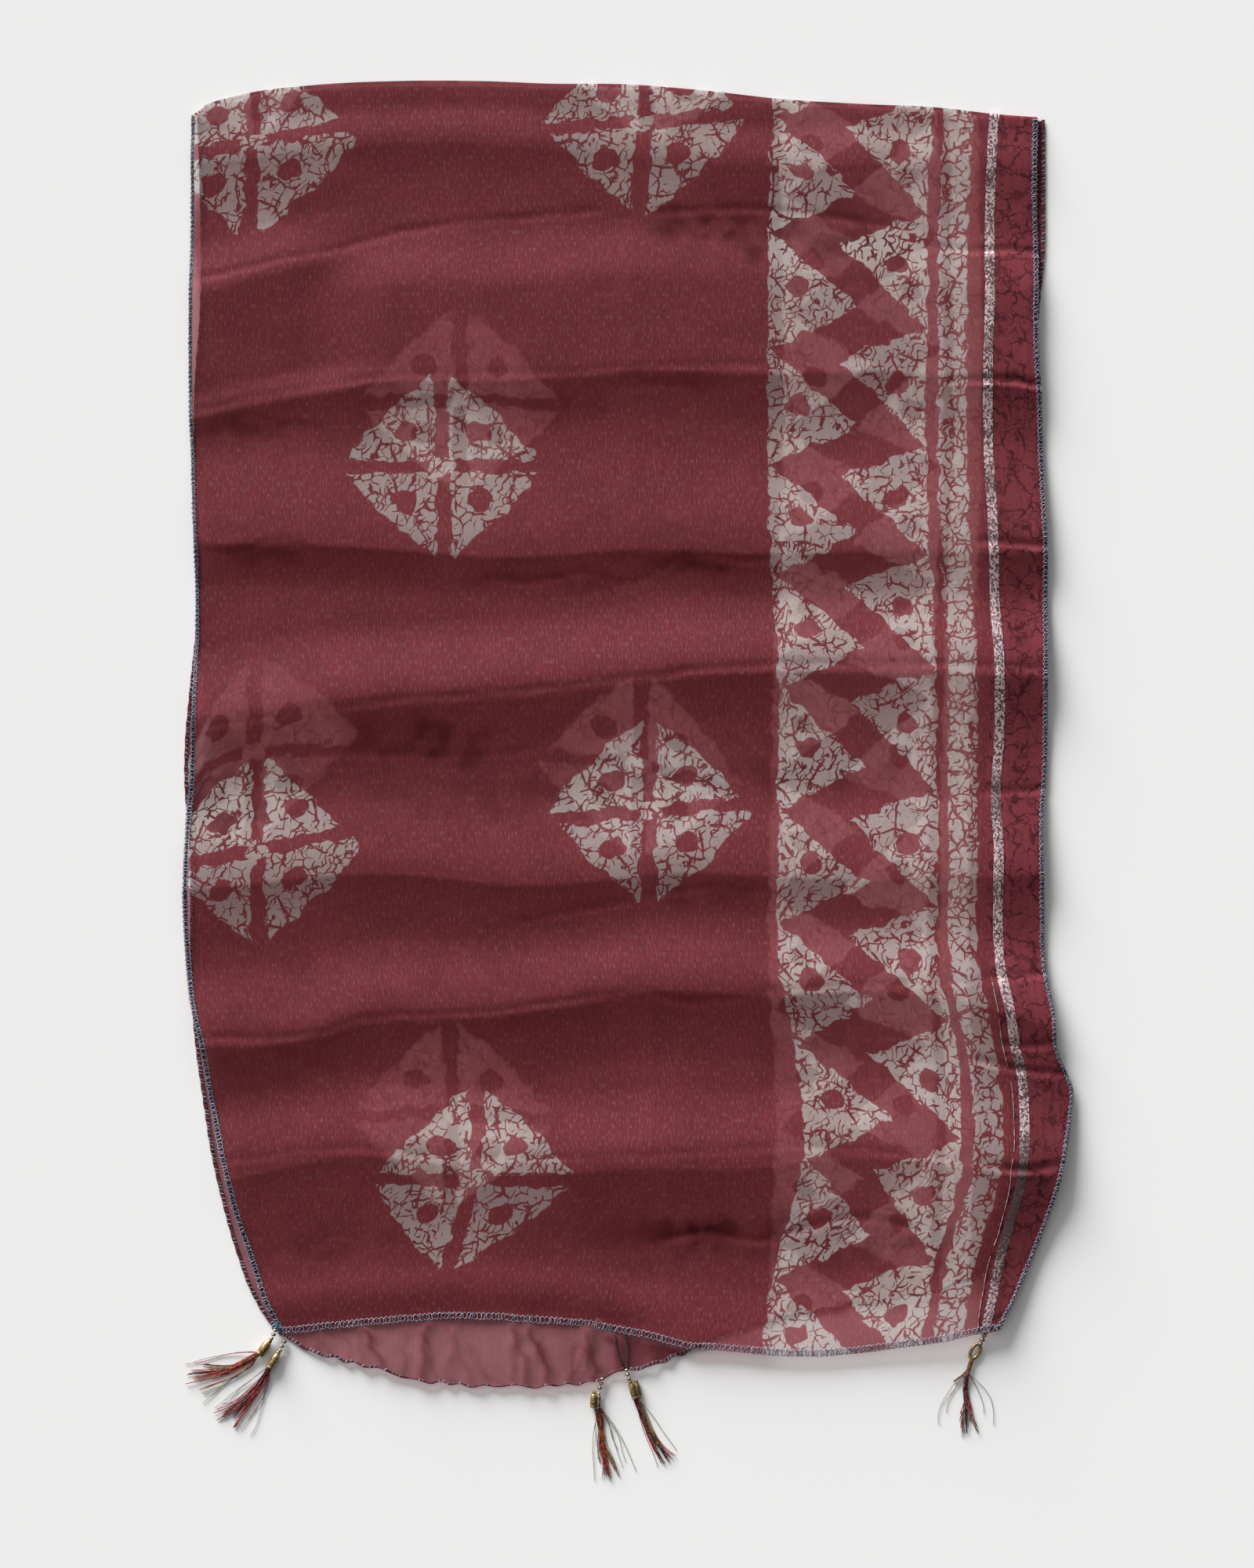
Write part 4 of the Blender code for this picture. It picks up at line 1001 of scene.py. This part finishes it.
def whipped(name, points, height, inward, seed, slot="sheer_cloth", thick=None, pale=None):
    """The underside of the overlocking along the back layer: a thin rolled edge with small pale stitches, in stretches."""
    rng = np.random.default_rng(seed)
    line, d = resample(points, 2.0)
    normal = edge_frame(line) * inward
    n = len(line)
    share = d / d[-1]
    full = np.ones(n) if thick is None else np.interp(share, *np.array(thick, float).T)
    often = np.full(n, 0.75) if pale is None else np.interp(share, *np.array(pale, float).T)
    paths, radii, kinds = [], [], []
    for off, rise in ((0.2, 0.50), (1.3, 0.46), (2.6, 0.42)):
        q = line + normal * ((off + 0.35 * np.sin(d / 3.1 + off)) * full)[:, None]
        z = height(q[:, 0], q[:, 1]) + rise
        paths.append(np.stack([wx(q[:, 0]), wy(q[:, 1]), z * MM], -1))
        radii.append((0.34 + 0.24 * full) * MM)
        kinds.append(0)
    i = 1
    while i < n - 2:
        if rng.random() < often[i]:
            p0, p1 = line[i] + normal[i] * -0.9, line[min(i + 1, n - 1)] + normal[i] * (1.4 + 2.2 * full[i])
            t = np.linspace(0, 1, 4)[:, None]
            q = p0 + (p1 - p0) * t
            z = height(q[:, 0], q[:, 1]) + 0.66 + 0.35 * np.sin(np.pi * t[:, 0])
            paths.append(np.stack([wx(q[:, 0]), wy(q[:, 1]), z * MM], -1))
            radii.append((0.28 + 0.14 * rng.random()) * MM)
            kinds.append(1 if rng.random() < 0.8 else 2)
        i += int(rng.integers(2, 4))
    return tubes(name, paths, radii, kinds, [edge_thread, pale_thread, blue_thread], slot, sides=4)


over_back = [
    whipped("edge_back_left", side_line(BACK_LEFT, 150, 1704), back_z, -1.0, 11),
    whipped("edge_back_hem", hem_line(BACK_HEM, 358, 1300), back_z, -1.0, 12,
            thick=((0, 1), (0.10, 0.6), (0.25, 0.3), (0.42, 0.35), (0.48, 1), (0.6, 1), (1, 0.8)),
            pale=((0, 0.5), (0.06, 0.9), (0.18, 0.4), (0.26, 0.15), (0.42, 0.2), (0.47, 1), (0.6, 1), (1, 0.6))),
    whipped("edge_back_right", side_line(BACK_RIGHT, 152, 1606), back_z, 1.0, 13, "border_weave"),
]

# the thin silver yarn along the border cloth's turned-in edge
yarns = []
for y0, y1 in ((1246, 1292), (1298, 1362), (1378, 1470), (1476, 1590), (1602, 1697)):
    yq = np.arange(y0, y1, 2.0)
    xq = allowance(yq) + 0.6 * wander(yq, yq * 0, 17, 40, 71)
    yarns.append(np.stack([wx(xq), wy(yq), (front_z(xq, yq) + 0.40) * MM], -1))
silver_line = tubes("ribbon_yarn", yarns, [0.24 * MM] * len(yarns), [0] * len(yarns), [silver_thread], "metal_ribbon")

# ---- tassels -------------------------------------------------------------------------------------------------------------
THREADS = [
    yarn("thread_crimson", (0.33, 0.014, 0.034), (0.075, 0.004, 0.010), 0.5, 2.0, 0.3),
    yarn("thread_orange", (0.40, 0.060, 0.020), (0.12, 0.018, 0.010), 0.5, 2.0, 0.3),
    yarn("thread_olive", (0.24, 0.17, 0.055), (0.055, 0.038, 0.016), 0.5, 2.0, 0.3),
    yarn("thread_navy", (0.045, 0.030, 0.085), (0.012, 0.008, 0.022), 0.5, 2.0, 0.3),
    yarn("thread_grey", (0.23, 0.19, 0.18), (0.060, 0.048, 0.050), 0.5, 2.0, 0.3),
]
brass_mat = metal("cap_brass", (0.56, 0.41, 0.19), (0.13, 0.076, 0.032), 0.34)
# a darker copy of the brass, as painted shade for the right-hand cap of the front middle tassel
shaded_mat = metal("cap_brass_shaded", (0.36, 0.26, 0.12), (0.09, 0.055, 0.025), 0.36)
bound_mat = yarn("bound_thread", (0.20, 0.105, 0.035), (0.055, 0.022, 0.012), 0.6, 1.0)
bead_mat = metal("bead_metal", (0.66, 0.58, 0.47), (0.10, 0.062, 0.036), 0.25)
cord_mat = yarn("loop_cord", (0.035, 0.032, 0.034), (0.008, 0.008, 0.010), 0.6, 0.9)


def lathe(name, profile, start, end, height, mats, slot, nodes=(), sides=28, kinds=None, flat=1.0):
    """A turned piece lying from start to end (plan places), axis at the height in mm; profile is (place 0 to 1, radius in mm)."""
    a = np.array([float(wx(start[0])), float(wy(start[1])), height * MM])
    b = np.array([float(wx(end[0])), float(wy(end[1])), height * MM])
    along = (b - a) / np.linalg.norm(b - a)
    side = np.array([-along[1], along[0], 0.0])
    up = np.array([0.0, 0.0, 1.0])
    ring = np.linspace(0, 2 * np.pi, sides, endpoint=False)
    pts = []
    for t, r in profile:
        c = a + (b - a) * t
        pts.append(c + r * MM * (np.cos(ring)[:, None] * side + flat * np.sin(ring)[:, None] * up))
    n = len(profile)
    i = np.arange(n * sides).reshape(n, sides)
    j = np.roll(i, -1, axis=1)
    quads = np.stack([i[:-1], j[:-1], j[1:], i[1:]], -1).reshape(-1, 4)
    return put_object(name, raw_mesh(name, np.vstack(pts), quads, kinds=kinds), mats, slot, *nodes)


CAP = ((0.0, 0.3), (0.0, 1.3), (0.03, 1.75), (0.08, 1.85), (0.13, 1.65), (0.18, 2.1), (0.26, 2.75), (0.36, 3.0), (0.52, 3.06), (0.70, 3.0),
       (0.82, 2.85), (0.86, 2.65), (0.88, 2.8), (0.93, 2.9), (0.98, 2.75), (1.0, 2.3), (0.98, 1.9), (0.9, 1.4))


def cap(name, start, end, height, radius=1.0, mats=None, nodes=()):
    return lathe(name, [(t, r * radius) for t, r in CAP], start, end, height, mats or [brass_mat], "cap_brass", nodes)


def beads(name, places, nodes=()):
    """Oval beads: (middle, way along the string, half length and half width in mm, height in mm)."""
    verts, quads, n = [], [], 0
    ring = np.linspace(0, 2 * np.pi, 18, endpoint=False)
    for at, way, half, wide, height in places:
        c = np.array([float(wx(at[0])), float(wy(at[1])), height * MM])
        along = np.array([way[0], -way[1], 0.0]) / math.hypot(*way)
        side, up = np.array([-along[1], along[0], 0.0]), np.array([0.0, 0.0, 1.0])
        for t in np.linspace(0.12, np.pi - 0.12, 11):
            r = wide * MM * math.sin(t)
            verts.append(c - along * half * MM * math.cos(t) + r * (np.cos(ring)[:, None] * side + np.sin(ring)[:, None] * up))
        i = np.arange(11 * 18).reshape(11, 18) + n
        j = np.roll(i, -1, axis=1)
        quads.append(np.stack([i[:-1], j[:-1], j[1:], i[1:]], -1).reshape(-1, 4))
        n += 11 * 18
    return put_object(name, raw_mesh(name, np.vstack(verts), np.vstack(quads)), [bead_mat], "bead_metal", *nodes)


def strand(start, mid, end, sag, n, rng, wiggle):
    """A loose thread between plan places, as points in metres."""
    t = np.linspace(0, 1, n)[:, None]
    p = (1 - t) ** 2 * np.array(start) + 2 * t * (1 - t) * np.array(mid) + t * t * np.array(end)
    phase, phase2 = rng.uniform(0, 6.28, 2)
    grow = t[:, 0] ** 1.2
    p[:, 0] += wiggle * grow * np.sin(t[:, 0] * rng.uniform(4, 9) + phase)
    p[:, 1] += wiggle * grow * np.sin(t[:, 0] * rng.uniform(4, 9) + phase2)
    z0, z1 = sag
    z = z0 + (z1 - z0) * smooth(t[:, 0] * 1.6)
    return np.stack([wx(p[:, 0]), wy(p[:, 1]), z * MM], -1)


def tuft(name, start, heading, clumps, nodes, seed, mix, strays=(), wiggle=2.1, thick=0.36):
    """Threads that leave a cap together and part in clumps: each clump is (tip, how many, looseness)."""
    rng = np.random.default_rng(seed)
    paths, radii, kinds = [], [], []
    norm = math.hypot(*heading)
    hx, hy = heading[0] / norm, heading[1] / norm
    for tip, count, loose in clumps:
        bow = rng.normal(0, 3.0, 2)
        phase, rate = rng.uniform(0, 6.28, 2), rng.uniform(4, 8, 2)
        main = int(rng.choice(5, p=mix))
        for _ in range(count):
            off = rng.normal(0, 1.6)
            s = np.array([start[0] - hy * off, start[1] + hx * off])
            end = np.array(tip, float) + rng.normal(0, loose, 2)
            keep = rng.uniform(0.86, 1.03)
            end = s + (end - s) * keep
            reach = 0.42 * math.hypot(*(end - s))
            mid = s + np.array([hx, hy]) * reach + bow + rng.normal(0, 1.0, 2)
            t = np.linspace(0, 1, 24)[:, None]
            p = (1 - t) ** 2 * s + 2 * t * (1 - t) * mid + t * t * end
            grow = wiggle * t[:, 0] ** 1.2
            p[:, 0] += grow * np.sin(t[:, 0] * rate[0] + phase[0] + rng.uniform(-0.5, 0.5))
            p[:, 1] += grow * np.sin(t[:, 0] * rate[1] + phase[1] + rng.uniform(-0.5, 0.5))
            z = rng.uniform(1.3, 3.4) * (1 - smooth(t[:, 0] * 2.2)) + rng.uniform(0.4, 1.3) * smooth(t[:, 0] * 2.2)
            paths.append(np.stack([wx(p[:, 0]), wy(p[:, 1]), z * MM], -1))
            radii.append(np.linspace(thick, thick * 0.72, 24) * MM * rng.uniform(0.8, 1.2))
            kinds.append(main if rng.random() < 0.45 else int(rng.choice(5, p=mix)))
    for end, bend in strays:
        s = (start[0] - hx * 2, start[1] - hy * 2)
        mid = ((s[0] + end[0]) / 2 + bend[0], (s[1] + end[1]) / 2 + bend[1])
        paths.append(strand(s, mid, end, (2.2, 0.5), 26, rng, wiggle * 1.3))
        radii.append(np.linspace(0.25, 0.17, 26) * MM)
        kinds.append(int(rng.choice([2, 4, 0])))
    return tubes(name, paths, radii, kinds, THREADS, "tassel_thread", sides=5, nodes=nodes)


def knot(name, at, radius, height, mat, slot, turns=3, seed=1):
    """A small knot: a few turns of thread round one spot."""
    rng = np.random.default_rng(seed)
    t = np.linspace(0, 2 * np.pi * turns, 40 * turns)
    r = radius * (0.75 + 0.25 * np.sin(t * 1.37))
    x = float(wx(at[0])) + r * MM * np.cos(t)
    y = float(wy(at[1])) + r * MM * np.sin(t + 0.4)
    z = (height + 0.6 * np.sin(t * 2.3 + rng.uniform(0, 6))) * MM
    return tubes(name, [np.stack([x, y, z], -1)], [0.42 * MM], [0], [mat], slot, sides=6)


tuft("threads_front_left", (329, 1727), (-10, 12),
     (((237, 1755), 6, 1.6), ((243, 1765), 7, 2.0), ((251, 1775), 4, 1.8), ((262, 1752), 5, 2.5), ((275, 1757), 4, 3.0), ((248, 1747), 4, 2.0)),
     ("tuft_front_left",), 101, (0.44, 0.24, 0.16, 0.06, 0.10), (((236, 1743), (0, -9)), ((255, 1788), (10, 6)), ((300, 1758), (8, 2)), ((246, 1740), (4, -12)), ((262, 1780), (6, 6)), ((284, 1766), (4, 6))))
cap("cap_piece_front_left", (345.2, 1709), (330.5, 1728.5), 3.1, 1.0, None, ("cap_front_left",))
beads("beads_piece_front_left", (((351.2, 1696.5), (-2, 5), 1.25, 1.75, 4.5), ((349, 1702.2), (-2, 5), 1.25, 1.85, 3.9), ((346.4, 1707.4), (-3, 5), 1.3, 1.5, 3.5)),
      ("beads_front_left",))
knot("knot_front_left", (351, 1692), 2.0, 4.8, teal_thread, "sheer_cloth", 4, 5)

tuft("threads_back_left", (343, 1745), (-7, 16),
     (((280, 1812), 8, 1.8), ((285, 1806), 6, 2.4), ((274, 1800), 4, 1.8), ((300, 1820), 5, 1.8), ((296, 1806), 4, 3.0), ((310, 1805), 3, 3.0)),
     ("tuft_back_left",), 102, (0.60, 0.08, 0.08, 0.08, 0.16), (((317, 1834), (6, 8)), ((271, 1800), (-6, 0)), ((304, 1822), (22, 8)), ((312, 1812), (14, 2)), ((292, 1796), (-10, -6)), ((326, 1800), (4, 4))))
cap("cap_piece_back_left", (356, 1724), (343.5, 1746), 3.2, 0.94, None, ("cap_back_left",))
beads("beads_piece_back_left", (((362.6, 1711.5), (-2, 5), 1.25, 1.85, 3.1), ((360.0, 1717.2), (-2, 5), 1.25, 1.75, 3.1), ((357.4, 1722.6), (-2, 5), 1.3, 1.5, 3.1)),
      ("beads_back_left",))

tuft("threads_back_middle", (764, 1797), (1, 20),
     (((771, 1892), 7, 1.8), ((779, 1889), 6, 1.8), ((786, 1884), 6, 1.8), ((775, 1872), 5, 3.0), ((766, 1868), 4, 3.0)),
     ("tuft_back_middle",), 103, (0.34, 0.22, 0.20, 0.04, 0.20), (((812, 1878), (4, -16)), ((756, 1888), (-6, 0)), ((800, 1868), (6, -10)), ((762, 1860), (-7, 0)), ((792, 1872), (8, -6)), ((786, 1850), (7, -6))))
cap("cap_piece_back_middle_a", (764.5, 1776), (763.5, 1797), 2.6, 0.52, [bead_mat], ("cap_back_middle_a",))
cap("cap_piece_back_middle_b", (758.0, 1775), (757, 1796), 2.62, 0.82, None, ("cap_back_middle_b",))
beads("beads_piece_back_middle", (((768.6, 1759), (-2, 6), 1.25, 1.7, 3.2), ((767.0, 1764.8), (-2, 6), 1.25, 1.85, 3.0), ((765.4, 1770.6), (-1, 6), 1.4, 1.7, 2.9)), ("beads_back_middle",))

tuft("threads_front_middle", (811, 1784), (6, 20),
     (((847, 1872), 6, 1.6), ((855, 1869), 7, 1.6), ((860, 1861), 6, 1.6), ((846, 1856), 5, 2.6), ((838, 1850), 3, 2.6)),
     ("tuft_front_middle",), 104, (0.48, 0.20, 0.16, 0.11, 0.05), (((840, 1874), (-4, 6)), ((862, 1852), (6, -4))), 1.2)
cap("cap_piece_front_middle_a", (803.5, 1761), (810.5, 1785), 2.7, 0.74, None, ("cap_front_middle_b",))
# this cap takes the darker brass as painted shade
cap("cap_piece_front_middle_b", (811.5, 1761), (816, 1783), 2.6, 0.68, [shaded_mat], ("cap_front_middle_a",))
beads("beads_piece_front_middle", (((799.4, 1747.4), (1, 6), 1.25, 1.75, 3.4), ((800.6, 1753.2), (1, 6), 1.25, 1.85, 3.1), ((802.4, 1758.8), (2, 6), 1.3, 1.5, 2.9)), ("beads_front_middle",))

tuft("threads_front_right", (1234, 1754), (-1, 20),
     (((1229, 1830), 6, 1.8), ((1235, 1831), 6, 1.8), ((1246, 1826), 6, 1.8), ((1240, 1815), 5, 3.0), ((1228, 1812), 4, 3.0)),
     ("tuft_front_right",), 105, (0.52, 0.08, 0.08, 0.10, 0.22), (((1198, 1815), (-14, -10)), ((1270, 1816), (14, -12)), ((1210, 1800), (-8, -8)), ((1254, 1802), (8, -8))))
link_t = np.linspace(0, 2 * np.pi, 49)
link_x = 1244.6 + 4.6 * np.sin(link_t) + 4.9 * np.cos(link_t)
link_y = 1724.0 + 2.3 * np.sin(link_t) - 9.0 * np.cos(link_t)
tubes("link_piece_front_right", [np.stack([wx(link_x), wy(link_y), np.full(49, 1.9 * MM)], -1)], [1.2 * MM], [0], [brass_mat], "cap_brass", 8,
      ("cap_front_right",))
stub = np.array([(1240.5, 1733), (1238, 1741), (1235.5, 1749), (1234, 1757)], float)
side_stub = np.array([(1235, 1748), (1228, 1755), (1217, 1763)], float)
tubes("bound_stub_front_right", [np.stack([wx(stub[:, 0]), wy(stub[:, 1]), np.full(4, 2.0 * MM)], -1),
                                 np.stack([wx(side_stub[:, 0]), wy(side_stub[:, 1]), np.array([2.0, 1.6, 0.9]) * MM], -1)],
      [np.array([1.3, 1.6, 1.5, 1.2]) * MM, np.array([0.9, 0.7, 0.5]) * MM], [0, 0], [bound_mat], "tassel_thread", 10)
beads("beads_piece_front_right", (((1255.6, 1703.0), (-2, 6), 1.6, 2.25, 4.2), ((1253.4, 1708.8), (-2, 6), 1.6, 2.25, 3.7), ((1250.8, 1714.2), (-2, 6), 1.45, 1.9, 3.2)),
      ("beads_front_right",))
knot("knot_front_right", (1259, 1697), 2.0, 5.2, dark_thread, "sheer_cloth", 4, 6)

LOOP = ((784.7, 1702.8), (785.6, 1714), (788, 1726), (792, 1735), (795.6, 1742), (798.0, 1746.6), (800.4, 1745.8), (800.9, 1740), (801.0, 1728), (800.8, 1715.5),
        (797.6, 1702.8))
loop_xy = np.array([(float(wx(a)), float(wy(b))) for a, b in LOOP])
loop_d = np.r_[0, np.cumsum(np.hypot(*np.diff(loop_xy, axis=0).T))]
fine = np.linspace(0, loop_d[-1], 60)
lx = np.interp(fine, loop_d, loop_xy[:, 0])
ly = np.interp(fine, loop_d, loop_xy[:, 1])
kernel = np.ones(7) / 7
lx[3:-3], ly[3:-3] = np.convolve(lx, kernel, "valid"), np.convolve(ly, kernel, "valid")
loop_px, loop_py = (lx + CENTRE[0]) / UNIT + 800.0, 1000.0 - (ly + CENTRE[1]) / UNIT
loop_z = np.maximum(back_z(loop_px, loop_py) + 0.9, 2.4) * smooth((loop_py - FRONT_HEM(loop_px) + 8.0) / 14.0)
loop_z = np.maximum(loop_z, (1.0 - smooth((loop_py - FRONT_HEM(loop_px) - 4.0) / 14.0)) * (front_z(loop_px, FRONT_HEM(loop_px)) + 0.3))
loop_path = np.stack([lx, ly, loop_z * MM], -1)
loop = tubes("loop_piece", [loop_path], [0.6 * MM], [0], [cord_mat], "loop_cord", 8, ("loop_front_middle",))

# ---- floor ---------------------------------------------------------------------------------------------------------------
g = Nodes("floor")
where = g.put("ShaderNodeTexCoord").outputs["Object"]
n = g.put("ShaderNodeTexNoise")
g.feed(n.inputs["Vector"], where)
n.inputs["Scale"].default_value = 3.0
g.feed(g.shader.inputs["Base Color"], g.mix(n.outputs["Fac"], (0.842, 0.842, 0.842), (0.858, 0.858, 0.858)))
g.shader.inputs["Roughness"].default_value = 0.9
g.shader.inputs["Specular IOR Level"].default_value = 0.1
bpy.ops.mesh.primitive_plane_add(size=14.0, location=(0, 0, -0.0003))
floor = bpy.context.active_object
floor.name = "floor"
floor.data.materials.append(g.mat)
